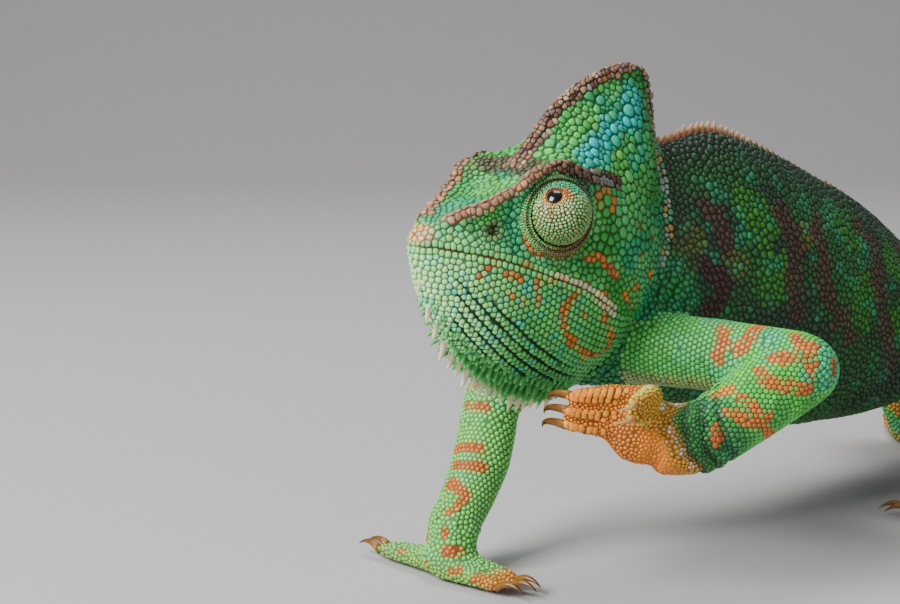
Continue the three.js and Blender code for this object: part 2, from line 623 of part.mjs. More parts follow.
/** Every piece of the animal, with its name, its solid and its material. */
function allPieces() {
  const { casque, skull, jaw } = headPieces();
  const neck = clearedOf(solid(neckShape), headShape, casqueRidge);
  const chest = joined([solid(chestShape), ...dorsalSpines(NECK_END + 2, CHEST_END - 2, 10)]);
  const pelvis = joined([solid(pelvisShape), ...dorsalSpines(CHEST_END + 2, PELVIS_END - 14, 9)]);
  const line = tailLine();
  const tail = TAIL_JOINTS.slice(1).map((end, i) => {
    const length = tailLength(line, TAIL_JOINTS[i] + BODY_GAP / 2, end - BODY_GAP / 2);
    const body = i === 0 ? clearedOf(length, pelvisShape) : length;
    return { name: `tail_${i + 1}`, body, material: 'trunk' };
  });
  return [
    { name: 'skull', body: skull, material: 'head' },
    { name: 'casque', body: casque, material: 'casque' },
    { name: 'lower_jaw', body: jaw, material: 'head' },
    ...eyes.map((eye) => ({ name: eye.name, body: solid(eye.geometry), material: 'eye' })),
    { name: 'neck', body: neck, material: 'trunk' },
    { name: 'trunk_front', body: chest, material: 'trunk' },
    { name: 'trunk_rear', body: pelvis, material: 'trunk' },
    ...tail,
    ...legPieces(raisedArm, raisedHand, ['left_upper_arm', 'left_forearm', 'left_hand'], 'palm'),
    ...legPieces(plantedArm, rightForefoot, ['right_upper_arm', 'right_forearm', 'right_hand'], 'leg'),
    ...legPieces(leftHindLeg, leftHindfoot, ['left_thigh', 'left_shin', 'left_foot'], 'leg'),
    ...legPieces(rightHindLeg, rightHindfoot, ['right_thigh', 'right_shin', 'right_foot'], 'leg'),
  ];
}

const group = new THREE.Group();
for (const { name, body, material } of allPieces()) {
  const mesh = new THREE.Mesh(surface(body.simplify(SLIVER)), MATERIALS[material]);
  mesh.name = name;
  group.add(mesh);
}

const extent = new THREE.Box3().setFromObject(group);
const middle = extent.getCenter(new THREE.Vector3());
group.position.set(-middle.x, -middle.y, -extent.min.z);
group.updateMatrixWorld(true);

export default group;
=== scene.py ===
"""A life-size veiled chameleon: one skin over the frame's flesh, covered with solid scales.

Shapes are worked out in millimetres from the tip of the snout: x to the animal's left, y back
along the body and z up.  Both sides of the head share the same marks, so most places on it are
given for the left side only.
"""

import logging
import math
from dataclasses import dataclass, field, fields
from enum import Enum

import bpy
import numpy as np
import openvdb as vdb
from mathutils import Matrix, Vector
from mathutils.bvhtree import BVHTree
from mathutils.kdtree import KDTree

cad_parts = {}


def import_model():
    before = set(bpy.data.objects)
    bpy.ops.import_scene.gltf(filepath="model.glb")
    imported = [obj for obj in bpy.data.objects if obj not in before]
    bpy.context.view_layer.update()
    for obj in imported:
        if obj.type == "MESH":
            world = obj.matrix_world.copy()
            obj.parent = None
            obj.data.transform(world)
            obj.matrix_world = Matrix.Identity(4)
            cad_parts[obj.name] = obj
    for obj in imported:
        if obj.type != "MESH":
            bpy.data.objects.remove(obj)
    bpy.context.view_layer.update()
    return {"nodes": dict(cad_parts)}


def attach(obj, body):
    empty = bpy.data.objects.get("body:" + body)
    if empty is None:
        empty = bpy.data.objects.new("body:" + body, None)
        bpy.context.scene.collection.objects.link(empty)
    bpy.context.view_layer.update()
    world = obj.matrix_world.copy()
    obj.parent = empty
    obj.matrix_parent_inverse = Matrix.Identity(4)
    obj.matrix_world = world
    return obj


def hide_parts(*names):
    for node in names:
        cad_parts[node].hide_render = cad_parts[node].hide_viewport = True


Array = np.ndarray
Random = np.random.Generator
Place = tuple[float, float, float]

log = logging.getLogger("chameleon")

MM = 0.001
SEED = 7
EYE_FROM_SNOUT = np.array([0.0, 29.2, 4.4])  # midpoint of the eyeballs, from the snout tip
UV_NAME = "OFBake"
UV_PATCH = 0.003
HUE = "hue"
RICHNESS = 1.3
NEIGHBOURS = 12  # scales that each scale takes heed of
ROW_STEP = 0.866  # distance between rows of scales, as a share of the pitch along them
TRIANGLES_MOST = 195000  # in one object
SIDE_KEY = 500  # keeps the scales of the throat's right side apart from those of its left side


# ------------------------------------------------------------------ small helpers


def tone(red: int, green: int, blue: int) -> Array:
    """A display colour as the linear colour that shaders use.

    It is made a little richer, because the view's tone curve greys bright colours.

    Args:
        red, green, blue: the colour as seen on a screen, from 0 to 255.

    Returns:
        Three linear values.
    """
    share = np.array([red, green, blue]) / 255
    linear = np.where(share <= 0.04045, share / 12.92, ((share + 0.055) / 1.055) ** 2.4)
    grey = linear @ np.array([0.21, 0.72, 0.07])
    return np.clip(grey + (linear - grey) * RICHNESS, 0.003, 1.0)


def unit(vectors: Array) -> Array:
    """Vectors of length one, in the same directions."""
    return vectors / np.maximum(np.linalg.norm(vectors, axis=-1, keepdims=True), 1e-9)


def step(edge0: float, edge1: float, value: Array) -> Array:
    """A smooth step from 0 at edge0 to 1 at edge1."""
    share = np.clip((value - edge0) / (edge1 - edge0), 0, 1)
    return share * share * (3 - 2 * share)


def hump(value: Array, middle: float, width: float) -> Array:
    """A smooth hump: 1 at the middle and next to nothing beyond twice the width on either side."""
    return np.exp(-(((value - middle) / width) ** 2))


def distance(points: Array, place: Array) -> Array:
    """How far points are from one place."""
    return np.linalg.norm(points - place, axis=1)


def mixed(first: Array, second: Array, share: Array | float) -> Array:
    """Colours between two colours, or two lists of them: one for each share, if there are many."""
    part = np.asarray(share)
    return first + (second - first) * (part[:, None] if part.ndim else part)


def mirrored(points: Array) -> Array:
    """The same points with those of the right side moved to the left."""
    return np.column_stack([np.abs(points[:, 0]), points[:, 1], points[:, 2]])


def fair_path(corners: list[Place], spacing: float) -> Array:
    """Evenly spaced places along a smooth curve through a few points.

    Args:
        corners: points of the curve.
        spacing: distance between neighbouring places.

    Returns:
        The places, one per row.
    """
    p = np.array(corners, float)
    ends = np.vstack([2 * p[0] - p[1], p, 2 * p[-1] - p[-2]])
    share = np.linspace(0, 1, 24, endpoint=False)[:, None]
    pieces = []
    for a, b, c, d in zip(ends, ends[1:], ends[2:], ends[3:]):
        bend = (2 * a - 5 * b + 4 * c - d) * share**2 + (3 * b - a - 3 * c + d) * share**3
        pieces.append(b + 0.5 * ((c - a) * share + bend))
    fine = np.vstack([*pieces, p[-1:]])
    run = np.concatenate([[0], np.cumsum(np.linalg.norm(np.diff(fine, axis=0), axis=1))])
    stops = np.linspace(0, run[-1], max(2, int(round(run[-1] / spacing)) + 1))
    return np.column_stack([np.interp(stops, run, fine[:, k]) for k in range(3)])


def off_line(points: Array, corners: list[Place], spacing: float = 2.0) -> Array:
    """How far points are from the smooth curve through a few corners.

    Args:
        points: the points, one per row.
        corners: points of the curve.
        spacing: length of the straight pieces that stand for the curve.

    Returns:
        The distance of each point.
    """
    path = fair_path(corners, spacing)
    best = np.full(len(points), np.inf)
    for a, b in zip(path, path[1:]):
        along = np.clip(((points - a) @ (b - a)) / max((b - a) @ (b - a), 1e-9), 0, 1)
        best = np.minimum(best, np.linalg.norm(points - a - along[:, None] * (b - a), axis=1))
    return best


class Clouding:
    """Soft random variation in space, the same each time for the same seed."""

    CELLS = 32  # along each side of the block of random values, which repeats

    def __init__(self, seed: int) -> None:
        """Draws the random values."""
        self.values = np.random.default_rng(seed).random((self.CELLS, self.CELLS, self.CELLS))

    def __call__(self, points: Array, size: float) -> Array:
        """Values from 0 to 1 whose lumps are about as large as size."""
        scaled = points / size + 500
        cell = np.floor(scaled).astype(int)
        share = scaled - cell
        share = share * share * (3 - 2 * share)
        total = np.zeros(len(points))
        for corner in np.ndindex(2, 2, 2):
            weight = np.prod(np.where(np.array(corner) == 1, share, 1 - share), axis=1)
            at = (cell + corner) % self.CELLS
            total += weight * self.values[at[:, 0], at[:, 1], at[:, 2]]
        return total


# ------------------------------------------------------------------ surfaces


@dataclass
class Surface:
    """A triangle mesh in millimetres."""

    points: Array
    triangles: Array

    def normals(self) -> Array:
        """The outward direction at each point."""
        a, b, c = (self.points[self.triangles[:, k]] for k in range(3))
        across = np.cross(b - a, c - a)
        total = np.zeros_like(self.points)
        for k in range(3):
            for axis in range(3):
                corner = self.triangles[:, k]
                total[:, axis] += np.bincount(corner, across[:, axis], len(self.points))
        return unit(total)

    def smoothed(self, rounds: Array) -> "Surface":
        """The surface with each point eased towards its neighbours.

        Args:
            rounds: how many times each point is eased.

        Returns:
            The smoother surface.
        """
        sides = np.vstack([self.triangles[:, [0, 1]], self.triangles[:, [1, 2]], self.triangles[:, [2, 0]]])
        both = np.vstack([sides, sides[:, ::-1]])
        count = np.bincount(both[:, 0], minlength=len(self.points))
        points = self.points.copy()
        for i in range(int(rounds.max())):
            moving = rounds > i
            for axis in range(3):
                total = np.bincount(both[:, 0], points[both[:, 1], axis], len(points))
                mean = total / np.maximum(count, 1)
                points[:, axis] = np.where(moving, (points[:, axis] + mean) / 2, points[:, axis])
        return Surface(points, self.triangles)

    def tree(self) -> BVHTree:
        """A search tree of the surface."""
        return BVHTree.FromPolygons(self.points.tolist(), self.triangles.tolist())

    @staticmethod
    def joined(parts: list["Surface"]) -> "Surface":
        """Several surfaces as one list of points and triangles."""
        starts = np.cumsum([0] + [len(part.points) for part in parts[:-1]])
        triangles = [part.triangles + start for part, start in zip(parts, starts)]
        return Surface(np.vstack([part.points for part in parts]), np.vstack(triangles))


def nearest(tree: BVHTree, points: Array) -> tuple[Array, Array, Array]:
    """The places of a surface that are nearest to points.

    Returns:
        The nearest places, the outward directions there and the numbers of their triangles.
    """
    found = [tree.find_nearest(point) for point in points.tolist()]
    places = np.array([hit[0] for hit in found])
    outward = np.array([hit[1] for hit in found])
    return places, outward, np.array([hit[2] for hit in found])


def moved_surface(surface: Surface, offset: float, voxel: float) -> Surface:
    """A surface moved outwards everywhere by an offset, with gaps and overlaps melted away.

    Args:
        surface: closed bodies, which may touch or overlap.
        offset: distance outwards, or inwards if negative.
        voxel: the size of the new triangles.

    Returns:
        One clean closed surface.
    """
    grid = vdb.FloatGrid.createLevelSetFromPolygons(
        surface.points.astype(np.float32),
        triangles=surface.triangles.astype(np.uint32),
        transform=vdb.createLinearTransform(voxel),
        halfWidth=abs(offset) / voxel + 3.0,
    )
    points, triangles, quads = grid.convertToPolygons(offset, 0)
    halves = np.vstack([triangles, quads[:, [0, 1, 2]], quads[:, [0, 2, 3]]]).astype(int)
    moved = Surface(points.astype(float), halves)
    corners = (moved.points[halves[:, k]] for k in range(3))
    if np.einsum("ij,ij->", next(corners), np.cross(next(corners), next(corners))) < 0:
        moved.triangles = halves[:, ::-1]
    return moved


def add_mesh(
    name: str, surface: Surface, origin: Array, colours: Array, finish: str,
    places: Array | None = None,
) -> bpy.types.Object:
    """Makes and dresses a Blender mesh object.

    Args:
        name: the object's name.
        surface: its shape.
        origin: the snout tip in the world, in millimetres.
        colours: a linear colour for each point.
        finish: the name of its material.
        places: each point's place on the bake map, if it has one.

    Returns:
        The new object, linked to the scene.
    """
    mesh = bpy.data.meshes.new(name)
    count = len(surface.triangles)
    mesh.vertices.add(len(surface.points))
    mesh.vertices.foreach_set("co", ((surface.points + origin) * MM).astype(np.float32).ravel())
    mesh.loops.add(count * 3)
    mesh.loops.foreach_set("vertex_index", surface.triangles.astype(np.int32).ravel())
    mesh.polygons.add(count)
    mesh.polygons.foreach_set("loop_start", np.arange(0, count * 3, 3, dtype=np.int32))
    mesh.polygons.foreach_set("use_smooth", np.ones(count, bool))
    mesh.update(calc_edges=True)
    layer = mesh.color_attributes.new(HUE, "FLOAT_COLOR", "POINT")
    solid = np.column_stack([colours, np.ones(len(colours))]).astype(np.float32)
    layer.data.foreach_set("color", solid.ravel())
    if places is not None:
        uv = mesh.uv_layers.new(name=UV_NAME)
        uv.data.foreach_set("uv", places[surface.triangles.ravel()].astype(np.float32).ravel())
    mesh.materials.append(Materials.get(finish))
    made = bpy.data.objects.new(name, mesh)
    bpy.context.scene.collection.objects.link(made)
    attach(made, "root")
    log.info("%s: %d triangles", name, count)
    return made


# ------------------------------------------------------------------ the body's plan


class Region(Enum):
    """Regions of the skin, each with its own sort of scales."""

    CASQUE = "casque"
    FACE = "face"
    THROAT = "throat"
    NECK = "neck"
    FLANK = "flank"
    RUMP = "rump"
    TAIL = "tail"
    LEFT_ARM = "left_arm"
    RIGHT_ARM = "right_arm"
    LEFT_HAND = "left_hand"
    RIGHT_HAND = "right_hand"
    LEFT_LEG = "left_leg"
    RIGHT_LEG = "right_leg"
    LEFT_FOOT = "left_foot"
    RIGHT_FOOT = "right_foot"


@dataclass(frozen=True)
class Grain:
    """How one region of the coat is built.

    Attributes:
        nodes: the frame nodes that it covers.
        slot: a label for the region's group of scale pieces, handed on when they are made.
        pitch: usual distance between scales.
        spread: how much that distance varies.
        height: dome height as a share of a scale's width.
        calm: rounds of smoothing for the skin under them.
        mottle: how much the colour varies from scale to scale.
        sides: corners of a scale's outline.
        woven: whether the scales stand in crossing rows.
        room: how far a scale may spread from its middle, as a share of its own pitch.
    """

    nodes: tuple[str, ...]
    slot: str
    pitch: float
    spread: float
    height: float
    calm: int
    mottle: float
    sides: int = 8
    woven: bool = False
    room: float = 0.78


TAIL_NODES = tuple(f"tail_{number}" for number in range(1, 8))
GRAINS: dict[Region, Grain] = {
    Region.CASQUE: Grain(("casque",), "casque_scales", 1.8, 0.38, 0.24, 3, 1.1, sides=12),
    Region.FACE: Grain(("skull",), "head_scales", 1.36, 0.2, 0.22, 6, 1.0, sides=12),
    Region.THROAT: Grain(("lower_jaw",), "head_scales", 1.4, 0.08, 0.25, 10, 0.9, 12, True, 0.62),
    Region.NECK: Grain(("neck",), "trunk_scales", 1.3, 0.15, 0.18, 26, 0.8),
    Region.FLANK: Grain(("trunk_front",), "trunk_scales", 1.6, 0.25, 0.16, 60, 0.7),
    Region.RUMP: Grain(("trunk_rear",), "trunk_scales", 1.6, 0.25, 0.16, 60, 0.7),
    Region.TAIL: Grain(TAIL_NODES, "trunk_scales", 1.4, 0.1, 0.18, 14, 0.8, 8, True, 0.76),
    Region.LEFT_ARM: Grain(
        ("left_upper_arm", "left_forearm"), "leg_scales", 1.2, 0.1, 0.17, 12, 1.0, 12, True, 0.84
    ),
    Region.RIGHT_ARM: Grain(
        ("right_upper_arm", "right_forearm"), "leg_scales", 1.15, 0.1, 0.15, 12, 0.8, 8, True, 0.84
    ),
    Region.LEFT_HAND: Grain(("left_hand",), "palm_skin", 0.82, 0.12, 0.11, 3, 0.65),
    Region.RIGHT_HAND: Grain(("right_hand",), "leg_scales", 1.0, 0.1, 0.16, 3, 0.7),
    Region.LEFT_LEG: Grain(
        ("left_thigh", "left_shin"), "leg_scales", 1.35, 0.1, 0.17, 14, 0.9, 8, True, 0.76
    ),
    Region.RIGHT_LEG: Grain(
        ("right_thigh", "right_shin"), "leg_scales", 1.35, 0.1, 0.17, 14, 0.9, 8, True, 0.76
    ),
    Region.LEFT_FOOT: Grain(("left_foot",), "leg_scales", 1.1, 0.1, 0.17, 3, 0.9),
    Region.RIGHT_FOOT: Grain(("right_foot",), "leg_scales", 1.1, 0.1, 0.17, 3, 0.9),
}
REGIONS = list(GRAINS)
HEAD_REGIONS = (Region.CASQUE, Region.FACE, Region.THROAT)
FEET = {
    Region.LEFT_HAND: "left_hand",
    Region.RIGHT_HAND: "right_hand",
    Region.LEFT_FOOT: "left_foot",
    Region.RIGHT_FOOT: "right_foot",
}

# Lines of the head's left side.
BROW_LINE = [
    (4.6, 7.0, 4.9), (7.4, 13.0, 6.9), (9.7, 18.0, 9.6), (12.0, 24.0, 13.2),
    (12.7, 29.9, 14.0), (12.3, 36.0, 12.0), (11.5, 41.5, 10.3), (10.4, 48.0, 9.2),
]
MOUTH_LINE = [
    (0, 0.4, -1.0), (3.6, 2.6, -1.2), (6.5, 8.0, -2.3), (8.6, 12.5, -3.4),
    (11.3, 19.6, -5.6), (13.4, 28.4, -9.1), (14.3, 36.3, -12.4), (14.6, 44.2, -17.4),
]
CREST_LINE = [
    (0, 27.6, 13.4), (0, 32.1, 18.0), (0, 37.9, 24.2), (0, 47.0, 29.4), (0, 55.6, 32.0), (0, 62.0, 33.2)
]
HEAD_EDGE_LINE = [
    (0.7, 66.6, 31.6), (1.6, 69.6, 26.5), (1.9, 70.2, 19.0), (3.9, 69.0, 12.0),
    (5.6, 68.6, 4.0), (7.8, 66.5, -4.5), (10.6, 62.5, -9.8),
]
NOSTRIL = np.array([8.6, 14.8, 1.5])
EYE_CENTRE = np.array([12.8, 29.2, 4.4])
SADDLE = np.array([4.0, 28.0, 13.2])  # the dark patch between the eyes
SADDLE_REACH = np.array([6.0, 4.0, 3.0])
SNOUT_TIP = np.array([0.8, 1.6, 0.6])
FLOOR = -77.0  # its height
FOLD_ACROSS = np.array([0.0, 0.61, 0.79])  # the throat's folds run at right angles to this
FOLD_ALONG = np.array([0.0, 0.79, -0.61])


class Body:
    """The frame's flesh, and where each place of it belongs."""

    def __init__(self, nodes: dict[str, bpy.types.Object]) -> None:
        """Reads the shapes of the frame.

        Args:
            nodes: the frame's mesh objects by name.
        """
        self.shapes = {name: self._read(piece) for name, piece in nodes.items()}
        eyes = [self.shapes[name].points for name in ("eye_left", "eye_right")]
        middle = np.mean([(eye.min(axis=0) + eye.max(axis=0)) / 2 for eye in eyes], axis=0)
        self.origin = middle - EYE_FROM_SNOUT
        for shape in self.shapes.values():
            shape.points = shape.points - self.origin
        self.flesh = [name for grain in GRAINS.values() for name in grain.nodes]
        pieces = [self.shapes[name] for name in self.flesh]
        self.tree = Surface.joined(pieces).tree()
        self.node_of_face = np.repeat(np.arange(len(pieces)), [len(piece.triangles) for piece in pieces])
        self.region_of_node = np.array([i for i, grain in enumerate(GRAINS.values()) for _ in grain.nodes])
        self.axes = {name: self.axis(piece.points) for name, piece in zip(self.flesh, pieces)}

    @staticmethod
    def _read(piece: bpy.types.Object) -> Surface:
        """A frame node's shape, in millimetres."""
        mesh = piece.data
        points = np.zeros(len(mesh.vertices) * 3)
        mesh.vertices.foreach_get("co", points)
        mesh.calc_loop_triangles()
        corners = np.zeros(len(mesh.loop_triangles) * 3, int)
        mesh.loop_triangles.foreach_get("vertices", corners)
        return Surface(points.reshape(-1, 3) / MM, corners.reshape(-1, 3))

    @staticmethod
    def axis(points: Array) -> tuple[Array, Array, Array, Array]:
        """The middle of a long piece, the way it runs, and two directions across it."""
        middle = points.mean(axis=0)
        along = np.linalg.svd(points - middle, full_matrices=False)[2][0]
        aside = unit(np.cross(along, [0.0, 0.0, 1.0]) + 1e-6)
        return middle, along, aside, np.cross(along, aside)

    def node_at(self, points: Array) -> Array:
        """The number, in self.flesh, of the frame node nearest to each point."""
        return self.node_of_face[nearest(self.tree, points)[2]]

    def within(self, nodes: Array, *regions: Region) -> Array:
        """Which of some flesh nodes, given by number, belong to one of the regions."""
        return np.isin(self.region_of_node[nodes], [REGIONS.index(region) for region in regions])

    def figures(self, nodes: Array, name: str) -> Array:
        """One figure of the Grain over each of some flesh nodes, given by number."""
        return np.array([getattr(grain, name) for grain in GRAINS.values()])[self.region_of_node[nodes]]

    def around(self, name: str, points: Array) -> tuple[Array, Array, Array]:
        """Where points lie on a long piece.

        Args:
            name: the frame node.
            points: points near it.

        Returns:
            How far along it they are, their angle round it and their distance from its axis.
        """
        middle, along, aside, up = self.axes[name]
        off = points - middle
        across, lift = off @ aside, off @ up
        return off @ along, np.arctan2(lift, across), np.hypot(across, lift)


@dataclass
class Claw:
    """The middle line of one claw of the frame."""

    root: Array
    middle: Array
    tip: Array
    END = 1.2  # the length at either end whose points are taken together
    HALF_MIDDLE = 1.1

    @classmethod
    def of(cls, shape: Surface) -> "Claw":
        """Reads a claw from its shape: its thicker end is its root."""
        points = np.unique(np.round(shape.points, 3), axis=0)
        middle, along = Body.axis(points)[:2]
        run = (points - middle) @ along
        ends = [points[run < run.min() + cls.END], points[run > run.max() - cls.END]]
        spread = [distance(end, end.mean(axis=0)).mean() for end in ends]
        root, tip = ends if spread[0] > spread[1] else ends[::-1]
        centre = points[np.abs(run) < cls.HALF_MIDDLE].mean(axis=0)
        return cls(root.mean(axis=0), centre, tip.mean(axis=0))


class Digits:
    """How the digits of one foot lie."""

    REACH = 5.5  # of the groove between two digits, from its middle line
    GROOVE = 0.62  # its half-width

    def __init__(self, body: Body, foot: str) -> None:
        """Finds the foot's two bundles of digits from its claws.

        Args:
            body: the frame's flesh and claws.
            foot: the frame node of the foot.
        """
        names = [name for name in sorted(body.shapes) if name.startswith(f"{foot}_claw_")]
        claws = [Claw.of(body.shapes[name]) for name in names]
        palm = body.shapes[foot].points.mean(axis=0)
        steps = [np.linalg.norm(b.root - a.root) for a, b in zip(claws, claws[1:])]
        split = int(np.argmax(steps)) + 1
        self.bundles = [self._bundle(claws[:split], palm), self._bundle(claws[split:], palm)]

    @staticmethod
    def _bundle(claws: list[Claw], palm: Array) -> tuple[list[Claw], Array, Array]:
        """The claws of a bundle, the way it reaches and the way across it."""
        roots = np.array([claw.root for claw in claws])
        across = unit(roots[-1] - roots[0])
        reach = roots.mean(axis=0) - palm
        return claws, unit(reach - (reach @ across) * across), across

    def grooves(self, points: Array) -> Array:
        """How deep between two digits points of the skin are, from 0 to 1."""
        deep = np.zeros(len(points))
        for claws, reach, across in self.bundles:
            for first, second in zip(claws, claws[1:]):
                off = points - (first.root + second.root) / 2
                run, aside = off @ reach, off @ across
                near = (distance(off, run[:, None] * reach) < self.REACH) & (run < 3)
                deep = np.maximum(deep, near * hump(aside, 0, self.GROOVE) * step(-10.5, -6.0, run))
        return deep


# ------------------------------------------------------------------ the skin


@dataclass
class Skin:
    """One closed skin over all of the flesh.

    Attributes:
        body: the frame's flesh.
        voxel: size of the skin's triangles.
        depth: how far the skin lies inside the flesh nodes, to leave room for the scales.
        opening: spines thinner than this, either side, are melted away from it.
        closing: gaps and sharp corners narrower than this, either side, are filled.
    """

    body: Body
    voxel: float = 0.8
    depth: float = 0.5
    opening: float = 1.3
    closing: float = 1.1
    FINER = 0.7  # the voxels where spines are melted away, as a share of the others
    FOOT_FILL = 0.3
    DIGIT_GROOVE = 0.95
    HAND_GROOVE = 0.38  # between the digits of the raised hand
    CREASE = 0.75  # depth of the folds round its wrist
    FOLD = 0.52  # of the throat
    NECK_FOLD = 0.55
    NECK_FOLD_PITCH = 5.2
    SOCKET_RIM = 8.0  # from the eye's middle
    LID_REACH = 0.8
    surface: Surface = field(init=False)
    nodes: Array = field(init=False)
    outward: Array = field(init=False)
    tree: BVHTree = field(init=False)

    def build(self) -> None:
        """Melts the flesh together, smooths it and works the face's forms into it."""
        spiny = ("lower_jaw", "trunk_front", "trunk_rear")
        parts = [self.body.shapes[name] for name in self.body.flesh if name not in spiny]
        for name in spiny:
            eroded = moved_surface(self.body.shapes[name], -self.opening, self.voxel * self.FINER)
            parts.append(moved_surface(eroded, self.opening, self.voxel * self.FINER))
        grown = moved_surface(Surface.joined(parts), self.closing, self.voxel)
        melted = moved_surface(grown, -self.closing - self.depth, self.voxel)
        self.nodes = self.body.node_at(melted.points)
        self.surface = melted.smoothed(self.body.figures(self.nodes, "calm"))
        self._sculpt()
        self.outward = self.surface.normals()
        self.tree = self.surface.tree()

    def _sculpt(self) -> None:
        """Raises the brows, cuts the mouth and the folds, parts the digits and closes the sockets."""
        points = self.surface.points
        head = self.body.within(self.nodes, *HEAD_REGIONS)
        throat = self.body.within(self.nodes[head], Region.THROAT)
        lift = self.head_relief(mirrored(points[head]), throat)
        points[head] += self.surface.normals()[head] * lift[:, None]
        normals = self.surface.normals()
        neck = self.body.within(self.nodes, Region.NECK)
        points[neck] += normals[neck] * self.neck_relief(mirrored(points[neck]))[:, None]
        for region, foot in FEET.items():
            here = self.body.within(self.nodes, region)
            groove = self.HAND_GROOVE if region is Region.LEFT_HAND else self.DIGIT_GROOVE
            lift = self.FOOT_FILL - groove * Digits(self.body, foot).grooves(points[here])
            points[here] += normals[here] * lift[:, None]
        arm = self.body.within(self.nodes, Region.LEFT_ARM, Region.LEFT_HAND)
        points[arm] -= normals[arm] * (self.CREASE * Hand.creases(points[arm]))[:, None]
        for side in (1, -1):
            off = points - EYE_CENTRE * np.array([side, 1, 1])
            reach = np.linalg.norm(off, axis=1)
            points -= off / reach[:, None] * (self.LID_REACH * hump(reach, self.SOCKET_RIM, 0.9))[:, None]

    def under(self, points: Array) -> tuple[Array, Array, Array]:
        """The places of the finished skin that are nearest to points.

        Args:
            points: the points.

        Returns:
            The places, the outward direction at each and the flesh node under each.
        """
        places, _, faces = nearest(self.tree, points)
        corners = self.surface.triangles[faces]
        return places, unit(self.outward[corners].mean(axis=1)), self.nodes[corners[:, 0]]

    def neck_relief(self, left: Array) -> Array:
        """How far the neck's skin stands out in slanting folds, low down behind the jaw."""
        swing = np.cos((left[:, 1] - left[:, 2]) * 2 * math.pi / self.NECK_FOLD_PITCH)
        return self.NECK_FOLD * loose_neck(left) * swing

    def head_relief(self, left: Array, throat: Array) -> Array:
        """How far the head's skin stands out or sinks in.

        Args:
            left: places on the head, mirrored to its left side.
            throat: which of them are on the lower jaw or throat.

        Returns:
            The outward distance for each place.
        """
        brow, mouth = off_line(left, BROW_LINE), off_line(left, MOUTH_LINE)
        eye, nostril = distance(left, EYE_CENTRE), distance(left, NOSTRIL)
        lift = 0.95 * hump(brow, 0, 1.7) * step(47, 40, left[:, 1])
        lift += 0.3 * hump(off_line(left, CREST_LINE), 0, 2.0)
        lift += 0.35 * hump(off_line(left, HEAD_EDGE_LINE), 0, 1.6)
        lift += 0.28 * hump(mouth, 1.1, 0.9) - 0.65 * hump(mouth, 0, 0.55)
        lift -= 1.3 * hump(nostril, 0, 0.95) - 0.35 * hump(nostril, 1.9, 0.6)
        lift += 0.45 * hump(eye, 9.6, 0.8) - 0.35 * hump(eye, 11.2, 0.7)
        return lift - self.FOLD * throat * folds(left)


def throat_rows(left: Array) -> Array:
    """Which row of throat scales places are on, counted across the folds, with fractions."""
    around = 0.3 * left[:, 0] + 3.2 * np.arctan(left[:, 0] / 5) - 0.007 * (left[:, 1] - 22) ** 2
    return (left @ FOLD_ACROSS + around) / (GRAINS[Region.THROAT].pitch * ROW_STEP)


def slack(left: Array) -> Array:
    """How much places belong to the folded, lower part of the throat, from 0 to 1."""
    return step(0.0, -1.6, left @ FOLD_ACROSS) * step(44, 36, left[:, 1]) * step(6, 9, left[:, 1])


def loose_neck(left: Array) -> Array:
    """How much places belong to the loose skin low down behind the jaw, from 0 to 1."""
    return step(-6, -11, left[:, 2]) * step(74, 66, left[:, 1])


def folds(left: Array) -> Array:
    """How far in a fold of the throat places are, from -1 to 1: there is a fold every two rows."""
    return slack(left) * np.cos((throat_rows(left) - 1.5) * math.pi)


# ------------------------------------------------------------------ markings


class Mark(Enum):
    """Special rows of scales, which keep their places."""

    PLAIN = 0
    LIP = 1
    BROW = 2
    CREST = 3
    EDGE = 4
    SNOUT = 5
    LAMELLA = 6
    BEAD = 7
    RIM = 8


@dataclass(frozen=True)
class Spot:
    """A round patch of one colour, with a ragged rim."""

    at: Place
    radius: float
    colour: Array


def patches(colour: Array, *places: tuple[float, float, float, float]) -> list[Spot]:
    """Patches of one colour, each given by its middle and its radius."""
    return [Spot(place[:3], place[3], colour) for place in places]


LEAF = tone(75, 146, 78)
DEEP_GREEN = tone(30, 92, 50)
MINT = tone(134, 208, 138)
TEAL = tone(52, 150, 116)
TURQUOISE = tone(60, 178, 166)
PALE_MINT = tone(188, 250, 184)
ORANGE = tone(186, 126, 74)
YELLOW = tone(196, 152, 62)
RUST = tone(148, 88, 56)
BROWN = tone(128, 96, 82)
DARK_BROWN = tone(72, 48, 40)
ROSE = tone(188, 146, 122)
CREAM = tone(230, 212, 182)
PEACH = tone(226, 184, 146)
ASH = tone(158, 164, 152)
TRUNK_DARK = tone(14, 42, 28)
TRUNK_GREEN = tone(34, 84, 40)
TRUNK_LIGHT = tone(54, 108, 46)
OLIVE = tone(98, 112, 40)
OXBLOOD = tone(66, 34, 28)
ARM_GREEN = tone(112, 194, 104)
ARM_BLUE = tone(92, 178, 140)
ARM_PALE = tone(160, 214, 122)
PALM = tone(212, 132, 76)
OCHRE = tone(180, 142, 52)
IVORY = tone(226, 218, 188)
LIP_SHADOW = tone(120, 76, 50) * 0.6
SHOULDER_GREEN = tone(112, 184, 118)
# tan under the upper arm: partly its colour, partly painted shade
UNDERARM_TAN_SHADE = tone(176, 146, 108)
RIGHT_ARM_GREEN = tone(152, 214, 136)
OUTER_DIGIT_YELLOW = tone(232, 200, 104)
BROW_TAN = tone(176, 142, 112)
CREST_PALE = tone(176, 162, 138)
EDGE_GREEN = tone(84, 140, 104)
LAMELLA_PALE = tone(228, 172, 104)
NOSTRIL_GREEN = tone(104, 112, 74)
IRIS_GOLD = tone(206, 150, 96)
IRIS_BROWN = tone(96, 52, 30)
PUPIL_BLACK = tone(4, 4, 5)
BEAD_CREAM = tone(178, 206, 150)
BEAD_GREEN = tone(106, 178, 120)
FOLD_GREENS = (tone(112, 178, 116), tone(160, 188, 130))
FOLD_BROWNS = (tone(150, 124, 82), tone(104, 72, 48))
